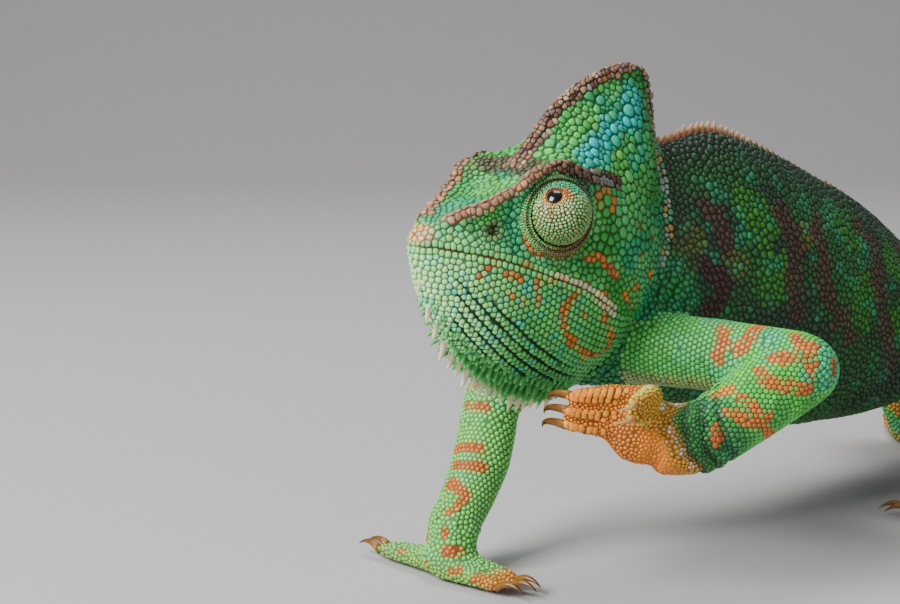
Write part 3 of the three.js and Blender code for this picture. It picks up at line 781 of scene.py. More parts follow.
CHIN_GREEN = (LEAF + MINT) / 2
SPINE_CREAM = mixed(CREAM, ORANGE, 0.45)
HORN_ROOT = tone(128, 92, 52)
HORN_TIP = tone(56, 32, 22)
PALE_HORN_ROOT = tone(196, 150, 104)
PALE_HORN_TIP = tone(176, 140, 112)
TAIL_BAND_PITCH = 17.0

HEAD_SPOTS = [
    *patches(YELLOW, (9.5, 14.5, -4.5, 1.2)),
    *patches(ORANGE, (9.5, 14.0, -9.5, 0.8), (10.5, 17.5, -11.5, 1.0), (11.5, 20.5, -13.5, 0.9)),
    *patches(RUST, (14.0, 35.5, -17.0, 1.0)),
    *patches(
        ORANGE,
        (14.0, 41.0, -14.5, 1.5), (14.5, 47.5, -14.5, 1.2), (14.0, 50.5, -16.5, 1.2),
        (14.0, 51.5, -13.5, 1.0), (12.5, 57.5, -11.5, 1.0), (12.0, 54.0, -0.5, 1.1),
        (13.5, 53.5, -7.0, 1.1),
    ),
    *patches(RUST, (11.5, 59.0, -3.5, 1.0)),
]
CASQUE_BAND = [(3.3, 61.0, 25.0), (4.9, 57.0, 21.0), (5.7, 51.5, 19.0), (7.2, 46.5, 16.5), (9.3, 41.0, 13.5)]
SHOULDER_ARC = [
    (11.7, 64.4, -10.3), (13.1, 71.9, -10.5), (14.6, 79.1, -14.6), (14.9, 76.8, -19.6), (14.0, 71.3, -21.7)
]
FLANK_BARS = [
    [(10.6, 77.1, 1.9), (12.9, 80.7, -4.3), (13.4, 81.5, -7.0)],
    [(13.2, 100.6, -2.5), (15.0, 103.7, -9.0), (16.0, 101.1, -12.3), (17.7, 101.1, -23.5)],
    [(13.4, 114.0, -5.5), (15.7, 113.5, -12.6), (17.4, 111.7, -19.2), (18.8, 120.6, -31.9)],
    [(11.5, 133.0, -7.0), (13.9, 136.7, -14.2), (16.5, 134.0, -26.0), (17.5, 139.0, -40.0)],
    [(10.0, 150.0, -14.0), (13.0, 152.0, -24.0), (15.5, 149.0, -36.0)],
    [(8.0, 166.0, -24.0), (11.0, 168.0, -32.0), (12.5, 165.0, -44.0)],
    [(5.5, 182.0, -30.0), (8.0, 184.0, -38.0)],
]
FLANK_SPOTS = [
    *patches(OLIVE * 0.6, (11.6, 70.2, -5.7, 4.2), (14.7, 82.3, -11.8, 3.6)),
    *patches(TRUNK_LIGHT, (12.1, 89.0, 1.1, 4.5), (13.5, 93.1, -3.6, 5.5), (16.4, 94.4, -16.1, 6.0)),
    *patches(OLIVE * 0.6, (14.5, 109.0, -7.7, 3.2)),
    *patches(
        TRUNK_LIGHT,
        (11.1, 123.2, -3.7, 4.5), (12.0, 129.0, -9.0, 6.0), (16.5, 126.0, -24.0, 7.0),
        (12.0, 144.0, -18.0, 5.5), (15.0, 143.0, -33.0, 6.0), (11.0, 159.0, -27.0, 5.0),
    ),
    *patches(TEAL * 0.5, (13.1, 68.8, -15.8, 3.0)),
]


@dataclass(frozen=True)
class Band:
    """A ragged stripe along a curve, in the varying orange of the marks unless it has its own colour."""

    corners: list[Place]
    width: float
    colour: Array | None = None


HEAD_BANDS = [
    Band([(9.5, 14.5, -4.5), (8.5, 12.0, -6.5), (8.5, 11.5, -7.5)], 0.8),
    Band([(10.5, 17.0, -7.5), (11.0, 18.5, -8.0), (11.5, 20.0, -8.5)], 0.9),
    Band([(12.5, 24.0, -7.5), (12.5, 23.5, -10.5), (12.5, 23.5, -13.5)], 0.75),
    Band([(11.0, 21.5, -1.0), (11.5, 22.5, -2.0), (12.0, 24.5, -3.5)], 0.9),
    Band([(13.5, 36.5, -5.5), (14.0, 40.5, -6.0), (14.0, 43.0, -8.5), (14.5, 45.5, -11.0)], 0.9),
    Band([
        (12.5, 41.5, 5.0), (12.5, 40.0, 7.0), (12.0, 43.5, 7.5), (12.0, 46.5, 5.5), (12.5, 45.0, 4.0),
    ], 0.8),
    Band([
        (14.0, 35.5, -11.0), (13.5, 31.5, -13.5), (13.5, 30.0, -17.0), (12.5, 32.0, -21.0),
        (12.0, 36.0, -24.5), (11.0, 42.0, -27.5), (11.5, 45.5, -25.5), (14.0, 43.5, -21.0),
        (14.0, 41.0, -18.5),
    ], 1.0),
]
LEFT_ARM_BANDS = [
    Band([(27, 63, -20.5), (29, 60.5, -23), (29.5, 59, -26.5)], 1.5),
    Band([(32, 70, -20.5), (33.5, 64, -21.5), (33.5, 61, -25)], 1.5),
    Band([(41.5, 69, -21), (44, 67, -22.5), (46, 68.5, -23)], 1.5),
    Band([(49.5, 72, -26), (50, 72, -28.5)], 1.2, RUST),
    Band([(42, 61.5, -25), (44.5, 63.5, -24.5)], 1.6),
    Band([(47.5, 66, -25.5), (48, 65.5, -27), (49, 65.5, -28.5)], 1.4),
    Band([(41, 58, -27), (44, 57, -29), (46, 59, -30), (48.5, 64.5, -31.5)], 1.4),
    Band([(36.5, 50, -31), (39, 51.5, -30.5)], 1.5, YELLOW),
    Band([(41.5, 51.5, -31.5), (43, 52, -32.5), (44.5, 53, -34)], 1.3),
    Band([(41, 47.5, -34), (42.5, 49, -35), (44, 51, -36), (45, 53, -37.5)], 1.3),
    Band([(45.5, 55.5, -36), (45.5, 55.5, -38.5), (43.5, 59.5, -41)], 1.2),
    Band([(41, 45, -37.5), (42.5, 46, -39), (41.5, 44.5, -39.5)], 1.3, RUST),
]
RIGHT_ARM_BANDS = [
    Band([(-25.5, 39, -39), (-22.5, 39, -38)], 1.1),
    Band([(-23.5, 36.5, -42.5), (-21, 36.5, -42), (-18, 37.5, -42)], 1.2),
    Band([(-22, 32, -51.5), (-18, 32, -50), (-15, 34, -50)], 1.2),
    Band([(-20, 30, -54), (-16.5, 30, -53.5), (-13, 33, -54)], 1.2),
    Band([(-18.5, 27, -57.5), (-15, 27, -58), (-13, 27, -59.5), (-15, 23.5, -62)], 1.3),
]
RIGHT_HAND_BANDS = [
    Band([(-19.5, 21.5, -68.5), (-19.5, 21.5, -69)], 1.0),
    Band([(-14, 22, -67), (-14, 22, -66.5)], 0.9),
    Band([(-12.5, 21.5, -70.5), (-11, 22.5, -70.5)], 1.3),
    Band([(-27, 20.5, -73.5), (-26, 20.5, -73)], 0.9),
    Band([(-18, 19, -74.5), (-17, 19, -74)], 1.0),
    Band([(-9.5, 20, -73.5), (-8, 20.5, -73)], 1.2),
    Band([(-4, 21, -74.5), (-2.5, 21.5, -73.5)], 1.0),
]


@dataclass(frozen=True)
class Patch:
    """Places of the skin to be coloured.

    Attributes:
        points: where they are.
        left: the same, mirrored to the left side.
        outward: the direction that the skin faces there.
    """

    points: Array
    left: Array
    outward: Array

    def only(self, chosen: Array) -> "Patch":
        """Some of the places."""
        return Patch(self.points[chosen], self.left[chosen], self.outward[chosen])


class Markings:
    """The animal's colours, worked out for any place on its skin."""

    def __init__(self, body: Body) -> None:
        """Sets up the random variation.

        Args:
            body: the frame's flesh.
        """
        self.body = body
        self.coarse = Clouding(SEED)
        self.fine = Clouding(SEED + 1)
        self.speckle = Clouding(SEED + 2)
        self.rim = False
        self.painters = {
            Region.CASQUE: self._casque, Region.FACE: self._face, Region.THROAT: self._throat,
            Region.NECK: self._trunk, Region.FLANK: self._trunk, Region.RUMP: self._trunk,
            Region.TAIL: self._tail, Region.LEFT_ARM: self._left_arm, Region.LEFT_HAND: self._raised_hand,
            Region.RIGHT_ARM: self._right_arm, Region.RIGHT_HAND: self._right_hand,
        }

    def colours(
        self, points: Array, outward: Array, nodes: Array, marks: Array | None = None, rim: bool = False
    ) -> Array:
        """The colour of the skin, or of scales, at some places.

        Args:
            points: the places.
            outward: the direction that the skin faces there.
            nodes: the flesh node under each place.
            marks: the value of each scale's Mark, if these are scales.
            rim: whether these are the rims of scales or the skin between them.

        Returns:
            A linear colour for each place.
        """
        self.rim = rim
        whole = Patch(points, mirrored(points), outward)
        shade = np.zeros((len(points), 3))
        for region in REGIONS:
            here = self.body.within(nodes, region)
            if here.any():
                shade[here] = self.painters.get(region, self._hind_leg)(whole.only(here))
        if marks is not None:
            self._special_rows(shade, whole.left, marks)
        return shade

    def hide(self, points: Array, outward: Array, nodes: Array) -> Array:
        """The colour of the bare skin between the scales: darker than the scales, partly as its own colour
        and partly as painted shade, and darkest, as painted shade, in the throat's folds, the wrist's
        creases, the palm's grooves, the mouth's slit and the nostrils.
        """
        left = mirrored(points)
        throat = self.body.within(nodes, Region.THROAT)
        bare = self.body.within(nodes, Region.LEFT_HAND) & Hand.smooth(points, outward)
        # painted shade: the skin between the scales is darkened, more in the palm's grooves and the wrist's
        # creases
        palm, rest = 0.75 - 0.45 * Hand.ridged(points), 0.3 - 0.2 * Hand.creases(points)
        shade = self.colours(points, outward, nodes, rim=True) * np.where(bare, palm, rest)[:, None]
        # painted shade in the throat's folds
        shade[throat] *= (1 - 0.75 * step(-0.2, 0.5, folds(left[throat])))[:, None]
        shade = mixed(shade, LIP_SHADOW, step(0.9, 0.5, off_line(left, MOUTH_LINE)))
        # painted shade in the nostrils' pits
        return mixed(shade, DARK_BROWN * 0.3, step(1.6, 0.9, distance(left, NOSTRIL)))

    def _marked(self, shade: Array, places: Array, reach: Array, colour: Array, rusty: bool) -> Array:
        """Colours with one mark laid over them.

        Args:
            shade: the colours.
            places: where they are.
            reach: how far each is from the mark's middle; the mark ends at 1.
            colour: the mark's colour.
            rusty: whether some scales in it keep their own colour, inside rust-red rims.

        Returns:
            The new colours.
        """
        if not rusty:
            return mixed(shade, colour, step(1.2, 0.8, reach))
        if self.rim:
            return mixed(shade, RUST * 2.2, step(1.4, 1.0, reach))
        return mixed(shade, colour, step(1.15, 0.85, reach) * step(0.78, 0.68, self.speckle(places, 1.3)))

    def _spotted(self, shade: Array, left: Array, spots: list[Spot], rusty: bool = False) -> Array:
        """Colours with patches laid over them."""
        ragged = 0.9 * (self.fine(left, 1.6) - 0.5)
        for spot in spots:
            reach = distance(left, spot.at) / spot.radius
            shade = self._marked(shade, left, reach + ragged, spot.colour, rusty)
        return shade

    def _lined(
        self, shade: Array, left: Array, band: Band, tint: Array, ragged: float = 0.8, rusty: bool = False
    ) -> Array:
        """Colours with a band laid over them along its curve.

        Args:
            shade: the colours.
            left: where they are.
            band: the band.
            tint: its colour, if it has none of its own.
            ragged: how uneven its edges are.
            rusty: whether some scales in it keep their own colour, inside rust-red rims.

        Returns:
            The new colours.
        """
        reach = off_line(left, band.corners, 1.5) / band.width + ragged * (self.fine(left, 2.2) - 0.5)
        return self._marked(shade, left, reach, tint if band.colour is None else band.colour, rusty)

    def _head_marks(self, shade: Array, left: Array) -> Array:
        """Colours with the head's orange chains, ring and spots laid over them."""
        tint = mixed(ORANGE, RUST, 0.7 * self.fine(left, 2.5))
        shade = self._spotted(shade, left, HEAD_SPOTS, rusty=True)
        for band in HEAD_BANDS:
            shade = self._lined(shade, left, band, tint, 0.6, rusty=True)
        return shade

    def _face(self, at: Patch) -> Array:
        """Green cheeks, darker towards the back as painted shade, a brown brow and saddle, a peach snout tip,
        orange marks, and dark nostrils, partly brown and partly painted shade.
        """
        left = at.left
        y, z = left[:, 1], left[:, 2]
        shade = mixed(LEAF, TEAL, 0.8 * step(0.35, 0.75, self.coarse(left, 7)))
        shade = mixed(shade, MINT, 0.5 * step(0.4, 0.8, self.fine(left, 4)))
        shade = mixed(shade, PALE_MINT, 0.7 * step(20, 5, y) * step(4, -1, z))
        # painted shade: the cheeks darken towards the back of the head
        shade = mixed(shade, DEEP_GREEN, 0.4 * step(46, 60, y))
        forehead = step(0.5, 2.5, z - 0.42 * y + 0.1 * left[:, 0]) * step(31, 26, y)
        shade = mixed(shade, mixed(LEAF, BROWN, self.fine(left, 3.0)), 0.6 * forehead)
        saddle = np.linalg.norm((left - SADDLE) / SADDLE_REACH, axis=1)
        shade = mixed(shade, DARK_BROWN, 0.85 * step(1.2, 0.6, saddle))
        socket = distance(left, EYE_CENTRE)
        shade = mixed(shade, OLIVE, 0.5 * step(9.8, 8.0, socket) * step(6, -3, z))
        shade = mixed(shade, RUST, 0.55 * step(11.0, 8.8, socket) * step(25, 29, y) * step(1, -3, z))
        shade = mixed(shade, DARK_BROWN, 0.6 * step(10.5, 8.5, socket) * step(33, 37, y))
        shade = self._head_marks(shade, left)
        shade = mixed(shade, PEACH, step(4.6, 2.0, distance(left, SNOUT_TIP)))
        brow = mixed(ROSE, DARK_BROWN, step(14, 34, y))
        shade = mixed(shade, brow, step(2.4, 1.4, off_line(left, BROW_LINE)))
        # dark round the nostril: partly its brown, partly painted shade in the pit
        return mixed(shade, DARK_BROWN, 0.7 * step(2.2, 1.3, distance(left, NOSTRIL)))

    def _casque(self, at: Patch) -> Array:
        """Turquoise and green beads, darker towards the back edge, under a brown ridge."""
        left = at.left
        shade = mixed(LEAF, MINT, 0.5 * self.fine(left, 3.2))
        shade = mixed(shade, TEAL, 0.7 * step(0.45, 0.75, self.coarse(left, 4)))
        band = off_line(left, CASQUE_BAND) + 4.0 * (self.fine(left, 2.4) - 0.5)
        shade = mixed(shade, TURQUOISE, step(4.6, 1.6, band))
        shade = mixed(shade, DEEP_GREEN, 0.65 * step(61, 66, left[:, 1]))
        return mixed(shade, DARK_BROWN, step(3.4, 2.6, off_line(left, CREST_LINE)))

    def _throat(self, at: Patch) -> Array:
        """Pale in front, brightened past its colour there as painted light, green behind, darker below and at
        the back as painted shade, with orange chains, a ring and blue flecks.
        """
        left = at.left
        y, z = left[:, 1], left[:, 2]
        shade = mixed(LEAF, MINT, 0.4 + 0.4 * self.coarse(left, 6))
        # painted light: the chin's pale colour is brightened by 1.15
        shade = mixed(shade, PALE_MINT * 1.15, 0.95 * step(18, 3, y + 0.25 * z))
        # painted shade: darker under the throat and towards its back
        shade = mixed(shade, DEEP_GREEN, 0.45 * step(-24, -34, z) + 0.45 * step(44, 52, y))
        fleck = self.fine(left, 1.3)
        shade = mixed(shade, TURQUOISE, 0.6 * step(0.68, 0.74, fleck) * step(-3, -8, z) * step(40, 30, y))
        return self._head_marks(shade, left)

    def _trunk(self, at: Patch) -> Array:
        """Dark green over the back, mid green flanks, lighter patches, red-brown bars, and painted shadow
        just behind the head.
        """
        left = at.left
        y = left[:, 1]
        shade = mixed(TRUNK_GREEN, TRUNK_DARK, 0.8 * step(0.35, 0.75, self.coarse(left, 11)))
        shade = self._spotted(shade, left, FLANK_SPOTS)
        shade = mixed(shade, TEAL, 0.35 * step(0.6, 0.75, self.fine(left, 3.2)))
        for bar in FLANK_BARS:
            shade = mixed(shade, self._lined(shade, left, Band(bar, 2.9), OXBLOOD, 1.2), 0.75)
        shade = self._lined(shade, left, Band(SHOULDER_ARC, 2.2), OXBLOOD * 0.6)
        shade = mixed(shade, TRUNK_DARK * 0.8, 0.85 * step(0.3, 0.7, at.outward[:, 2]))
        # painted shadow: darker just behind the head's back edge, where the head shades the neck
        shade = mixed(shade, TRUNK_DARK, 0.5 * step(76, 68, y) * step(-10, -4, left[:, 2]))
        shade = mixed(shade, mixed(LEAF, TEAL, self.coarse(left, 5)), 0.75 * loose_neck(left))
        return mixed(shade, TRUNK_LIGHT, 0.6 * step(-0.55, -0.9, at.outward[:, 2]))

    def _tail(self, at: Patch) -> Array:
        """Green and dark bands."""
        left = at.left
        run = left[:, 1] + 0.4 * at.points[:, 0]
        band = 0.5 + 0.5 * np.cos(run * 2 * math.pi / TAIL_BAND_PITCH + 2.5 * self.coarse(left, 14))
        shade = mixed(TRUNK_LIGHT, TRUNK_GREEN, self.coarse(left, 9))
        shade = mixed(shade, OXBLOOD, 0.75 * step(0.62, 0.85, band))
        shade = mixed(shade, TEAL, 0.5 * step(0.62, 0.75, self.fine(left, 3.0)))
        return mixed(shade, OCHRE, 0.35 * step(-0.4, -0.9, at.outward[:, 2]))

    def _limb(self, points: Array) -> Array:
        """The light green of a leg, with bluish flecks."""
        shade = mixed(ARM_GREEN, ARM_BLUE, 0.8 * step(0.45, 0.75, self.coarse(points, 6)))
        return mixed(shade, LEAF, 0.5 * step(0.45, 0.7, self.fine(points, 3.5)))

    def _banded(self, shade: Array, points: Array, bands: list[Band]) -> Array:
        """Colours with bands of orange scales laid over them."""
        tint = mixed(ORANGE, RUST, 0.6 * self.fine(points, 2.5))
        for band in bands:
            shade = self._lined(shade, points, band, tint, 0.9, rusty=True)
        return shade

    def _left_arm(self, at: Patch) -> Array:
        """Green with orange bands, tan under the upper arm, partly its colour and partly painted shade, dark
        at the wrist, with painted shade in the creases.
        """
        points = at.points
        x, y, z = points.T
        shade = mixed(self._limb(points), TEAL, 0.25 * step(64, 52, y) * step(-30, -34, z))
        shade = mixed(shade, SHOULDER_GREEN, 0.5 * step(38, 30, x))
        # tan under the upper arm: partly its colour, partly painted shade where it faces down
        shade = mixed(shade, UNDERARM_TAN_SHADE, 0.5 * (step(-0.3, -0.7, at.outward[:, 2]) * step(34, 27, x)))
        shade = mixed(shade, DEEP_GREEN, 0.6 * step(8.8, 6.5, distance(points, Hand.WRIST)))
        shade = self._banded(shade, points, LEFT_ARM_BANDS)
        # painted shade: darker in the folds round the wrist
        return shade * (1 - Hand.CREASE_SHADE * Hand.creases(points))[:, None]

    def _right_arm(self, at: Patch) -> Array:
        """Paler green with orange bands."""
        shade = self._banded(mixed(self._limb(at.points), RIGHT_ARM_GREEN, 0.7), at.points, RIGHT_ARM_BANDS)
        return self._soled(shade, at.points, 0.6)

    def _right_hand(self, at: Patch) -> Array:
        """Paler green with orange bands, and orange under the inner digits."""
        shade = self._banded(mixed(self._limb(at.points), RIGHT_ARM_GREEN, 0.7), at.points, RIGHT_HAND_BANDS)
        return mixed(self._soled(shade, at.points, 0.25), PALM, 0.85 * step(-5, 0, at.points[:, 0]))

    def _hind_leg(self, at: Patch) -> Array:
        """Darker green with chains of orange scales."""
        shade = mixed(self._limb(at.points), TRUNK_GREEN, 0.45)
        chain = self.fine(at.points, 3.4) + 0.25 * self.speckle(at.points, 9)
        return self._soled(mixed(shade, ORANGE, step(0.74, 0.82, chain)), at.points, 0.6)

    @staticmethod
    def _soled(shade: Array, points: Array, share: float) -> Array:
        """Colours with some ochre mixed in close to the floor."""
        return mixed(shade, OCHRE, share * step(5.5, 1.5, points[:, 2] - FLOOR))

    def _raised_hand(self, at: Patch) -> Array:
        """An orange palm with a speckled cuff, yellow-green outer digits, a green back and wrist, and painted
        shade in the wrist's creases.
        """
        points = at.points
        facing = at.outward @ Hand.PALM_FACING
        palm = mixed(PALM, ORANGE, 0.4 * self.fine(points, 4))
        shade = mixed(mixed(ARM_GREEN, OCHRE, self.coarse(points, 5)), palm, step(-0.35, 0.05, facing))
        cuff = Hand.cuff(points)
        shade = mixed(shade, OCHRE, 0.6 * step(-3.5, -1.0, cuff))
        speck = step(0.3, 0.55, self.speckle(points, 1.3)) * np.exp(-((cuff / 1.5) ** 4))
        shade = mixed(shade, mixed(CREAM, YELLOW, step(0.4, 0.6, self.fine(points, 1.4))), speck)
        wrist = mixed(DEEP_GREEN, LEAF, 0.6 * self.fine(points, 2.4))
        shade = mixed(shade, wrist, step(0.4, 1.8, cuff + 1.2 * (self.fine(points, 1.8) - 0.5)))
        ripple = 0.5 + 0.5 * np.cos(points @ Hand.REACH * 2 * math.pi / Hand.RIPPLE_PITCH)
        banded = mixed(OUTER_DIGIT_YELLOW, ARM_PALE * 1.1, ripple)
        banded = mixed(banded, PALM, 0.7 * step(0.3, 0.8, facing + 0.3 * ripple))
        # painted shade: darker in the folds round the wrist
        shade *= (1 - Hand.CREASE_SHADE * Hand.creases(points))[:, None]
        return mixed(shade, banded, Hand.outer_digits(points))

    def _special_rows(self, shade: Array, left: Array, marks: Array) -> None:
        """Recolours the lips, brows, crest, head edge, snout tip and lamellae in place."""
        painters = {
            Mark.LIP: self._lip, Mark.BROW: self._brow, Mark.CREST: self._crest, Mark.EDGE: self._head_edge,
            Mark.SNOUT: self._snout, Mark.LAMELLA: self._lamella, Mark.RIM: self._nostril_rim,
        }
        for mark, painter in painters.items():
            here = marks == mark.value
            if here.any():
                shade[here] = painter(shade[here], left[here], self.fine(left[here], 1.3))

    # Each of these gives the colour of one kind of special scale, from the colour of the plain
    # scales around it, its place on the left side and a number from 0 to 1 that varies.

    @staticmethod
    def _lip(shade: Array, left: Array, vary: Array) -> Array:
        """Mint in front, with orange flecks; ivory and rose under the eye and behind it."""
        y = left[:, 1]
        line = np.array(MOUTH_LINE)
        upper = left[:, 2] > np.interp(y, line[:, 1], line[:, 2])
        shade = mixed(shade, MINT, 0.6)
        shade = mixed(shade, ORANGE, 0.6 * step(0.6, 0.7, vary) * step(14, 20, y) * step(34, 28, y))
        return mixed(shade, mixed(IVORY, ROSE, 0.6 * vary), 0.85 * step(25, 30, y - np.where(upper, 0, 11)))

    @staticmethod
    def _brow(shade: Array, left: Array, vary: Array) -> Array:
        """Brown, darker over the eye and ashen behind it."""
        y = left[:, 1]
        worn = mixed(mixed(BROW_TAN, BROWN, vary), DARK_BROWN, 0.75 * step(18, 34, y))
        worn = mixed(worn, ASH * 0.6, 0.7 * step(37, 43, y))
        return mixed(worn, shade, 0.6 * step(0.6, 0.75, vary))

    @staticmethod
    def _crest(shade: Array, left: Array, vary: Array) -> Array:
        """Brown with worn, pale tips and a few dark scales."""
        worn = mixed(BROWN, CREST_PALE, 0.8 * step(0.45, 0.8, vary))
        return mixed(worn, DARK_BROWN, 0.6 * step(0.5, 0.25, vary))

    @staticmethod
    def _head_edge(shade: Array, left: Array, vary: Array) -> Array:
        """Grey-green, browner towards the top, with a few orange scales lower down."""
        z = left[:, 2]
        worn = mixed(EDGE_GREEN, ASH * 0.85, step(0.4, 0.7, vary))
        worn = mixed(worn, BROWN, 0.8 * step(6, 26, z))
        return mixed(worn, ORANGE, 0.6 * step(0.4, 0.3, vary) * step(18, 8, z))

    @staticmethod
    def _snout(shade: Array, left: Array, vary: Array) -> Array:
        """Peach."""
        return np.tile(PEACH, (len(left), 1))

    @staticmethod
    def _lamella(shade: Array, left: Array, vary: Array) -> Array:
        """The palm's orange, paler here and there."""
        return mixed(PALM, LAMELLA_PALE, 0.7 * vary)

    @staticmethod
    def _nostril_rim(shade: Array, left: Array, vary: Array) -> Array:
        """Half the face's own colour and half a brownish green."""
        return mixed(shade, NOSTRIL_GREEN, 0.5)


# ------------------------------------------------------------------ scales


@dataclass
class Seeds:
    """Places of scales.

    Attributes:
        places: their middles on the skin.
        outward: the direction that the skin faces there.
        sizes: how far each scale keeps its neighbours off.
        nodes: the flesh node under each.
        marks: the value of each scale's Mark.
    """

    places: Array
    outward: Array
    sizes: Array
    nodes: Array
    marks: Array

    def __len__(self) -> int:
        """How many there are."""
        return len(self.places)

    def only(self, chosen: Array) -> "Seeds":
        """Some of the scales."""
        return Seeds(*(getattr(self, each.name)[chosen] for each in fields(self)))

    @staticmethod
    def joined(parts: list["Seeds"]) -> "Seeds":
        """Several lists of scales as one."""
        names = [each.name for each in fields(Seeds)]
        return Seeds(*(np.concatenate([getattr(part, name) for part in parts]) for name in names))

    def tree(self) -> KDTree:
        """A search tree of the scales' middles."""
        tree = KDTree(len(self))
        for i, place in enumerate(self.places.tolist()):
            tree.insert(place, i)
        tree.balance()
        return tree

    def neighbours(self) -> Array:
        """The numbers of the scales nearest to each, without itself."""
        tree = self.tree()
        found = (tree.find_n(place, NEIGHBOURS + 1)[1:] for place in self.places.tolist())
        return np.array([[hit[1] for hit in hits] for hits in found])


@dataclass
class Scatter:
    """Lays out the scales on a skin.

    Attributes:
        body: the frame's flesh.
        skin: the skin.
        density: trial places per square millimetre.
        crowding: scales nearer together than this share of their sizes are thinned out.
        rounds: how often the scales push each other apart.
        pairing: how far the rows of the throat lean together in pairs, away from the folds.
        exact: how far a place may be off its row, squared and in pitches.
        hole: a place is bare beyond this share of its own and its neighbour's sizes.
        fold_hole: the same in the folds of the throat.
        hole_tries: the share of the trial places that is searched for holes.
        push: how strongly neighbours that are too close move apart.
        stride: how far a scale may move at once, as a share of its size.
        nostril_bare, mouth_bare, socket_bare: how near to each of these no scale may stand.
        random: the source of variation.
    """

    body: Body
    skin: Skin
    density: float = 13.0
    crowding: float = 0.62
    rounds: int = 9
    pairing: float = 0.2
    exact: float = 0.06
    hole: float = 0.385
    fold_hole: float = 0.58
    hole_tries: float = 0.18
    push: float = 0.45
    stride: float = 0.3
    nostril_bare: float = 1.25
    mouth_bare: float = 0.6
    socket_bare: float = 7.7
    random: Random = field(default_factory=lambda: np.random.default_rng(SEED))

    def build(self, rows: list[Seeds]) -> Seeds:
        """All scales of the skin.

        Args:
            rows: special rows of scales, which stay where they are.

        Returns:
            The settled scales.
        """
        trial = self._trial_places()
        spread = Seeds.joined([*rows, *self._woven(trial), *self._loose(trial)])
        spread = self._settled(self._thinned(spread), self.rounds)
        holes = self._holes(spread, trial)
        spread = self._settled(self._thinned(Seeds.joined([spread, holes])), self.rounds // 2)
        spread = self._thinned(spread)
        spread = spread.only(~self._bare(spread))
        log.info("scales: %d", len(spread))
        return spread

    def _bare(self, seeds: Seeds) -> Array:
        """Which scales would stand in a nostril, in the mouth's slit or behind a turreted eye."""
        left = mirrored(seeds.places)
        slit = (off_line(left, MOUTH_LINE) < self.mouth_bare) & (seeds.marks == Mark.PLAIN.value)
        pit = distance(left, NOSTRIL) < self.nostril_bare
        return slit | pit | (distance(left, EYE_CENTRE) < self.socket_bare)

    def _trial_places(self) -> Seeds:
        """Many random places on the skin."""
        surface = self.skin.surface
        a, b, c = (surface.points[surface.triangles[:, k]] for k in range(3))
        area = np.linalg.norm(np.cross(b - a, c - a), axis=1) / 2
        face = self.random.choice(len(area), int(area.sum() * self.density), p=area / area.sum())
        u, v = self.random.random((2, len(face)))
        u, v = np.where(u + v > 1, 1 - u, u), np.where(u + v > 1, 1 - v, v)
        places = a[face] + u[:, None] * (b - a)[face] + v[:, None] * (c - a)[face]
        outward = unit(self.skin.outward[surface.triangles[face]].mean(axis=1))
        nodes = self.skin.nodes[surface.triangles[face, 0]]
        marks = np.full(len(face), Mark.PLAIN.value)
        return Seeds(places, outward, self.pitch(places, nodes), nodes, marks)

    def pitch(self, places: Array, nodes: Array) -> Array:
        """The usual distance between scales at some places."""
        left = mirrored(places)
        y = left[:, 1]
        temple = step(38, 43, y) * step(64, 58, y)
        size = self.body.figures(nodes, "pitch")
        for region, share in (
            (Region.FACE, 0.66 + 0.34 * step(9.0, 12.0, distance(left, EYE_CENTRE))),
            (Region.FACE, 0.7 + 0.3 * step(2.5, 5.5, distance(left, NOSTRIL))),
            (Region.THROAT, 1 - 0.2 * slack(left)),
            (Region.FACE, 1 + 0.45 * temple * step(-10, -4, left[:, 2])),
            (Region.TAIL, 1.0 - 0.35 * step(235, 330, y)),
        ):
            size *= np.where(self.body.within(nodes, region), share, 1)
        return size

    def _woven(self, trial: Seeds) -> list[Seeds]:
        """Scales in rows, on the regions where they stand so."""
        made = []
        for number in range(len(self.body.flesh)):
            region = REGIONS[self.body.region_of_node[number]]
            here = trial.only(trial.nodes == number)
            if GRAINS[region].woven and len(here):
                grid = self._throat_grid(here) if region is Region.THROAT else self._ring_grid(here, number)
                made.append(here.only(self._on_grid(*grid)))
        return made

    def _throat_grid(self, here: Seeds) -> tuple[Array, Array, Array, Array]:
        """Where places of the throat lie on its grid of scales.

        Args:
            here: the places.

        Returns:
            The row of each, its place along the row, how far its row leans towards the next one,
            and a number that keeps the two sides of the body apart.
        """
        left = mirrored(here.places)
        row = throat_rows(left)
        right = np.where(here.places[:, 0] < 0, SIDE_KEY, 0)
        lean = self.pairing * np.where(np.round(row) % 2 == 0, 1, -1) * slack(left)
        return row, left @ FOLD_ALONG / GRAINS[Region.THROAT].pitch, lean, right

    def _ring_grid(self, here: Seeds, number: int) -> tuple[Array, Array, float, float]:
        """Where places of a limb or the tail lie on its rings of scales.

        Args:
            here: the places.
            number: the flesh node.

        Returns:
            The same four values as for the throat; the last two are nothing here.
        """
        pitch = np.median(here.sizes)
        run, angle, radius = self.body.around(self.body.flesh[number], here.places)
        turns = max(6, round(2 * math.pi * np.median(radius) / pitch))
        return run / (pitch * ROW_STEP), (angle / (2 * math.pi) + 0.5) * turns, 0.0, 0.0

    def _on_grid(self, row: Array, along: Array, lean: Array | float, side: Array | float) -> Array:
        """The numbers of the places that lie nearest to the crossings of a grid.

        Args:
            row: the row of each place, with fractions.
            along: its place along the row, with fractions.
            lean: how far its row leans towards the next one.
            side: a number that keeps the two sides of the body apart.

        Returns:
            One place for each crossing that has one near enough.
        """
        line = np.round(row)
        offset = 0.5 * (line % 2)
        place = np.round(along - offset)
        miss = (row - line - lean) ** 2 * 0.75 + (along - offset - place) ** 2
        key = (line + 300) * 4000 + place + 1000 + side  # one number for each crossing
        order = np.lexsort((miss, key))
        best = order[np.concatenate([[True], np.diff(key[order]) != 0])]
        return best[miss[best] < self.exact]

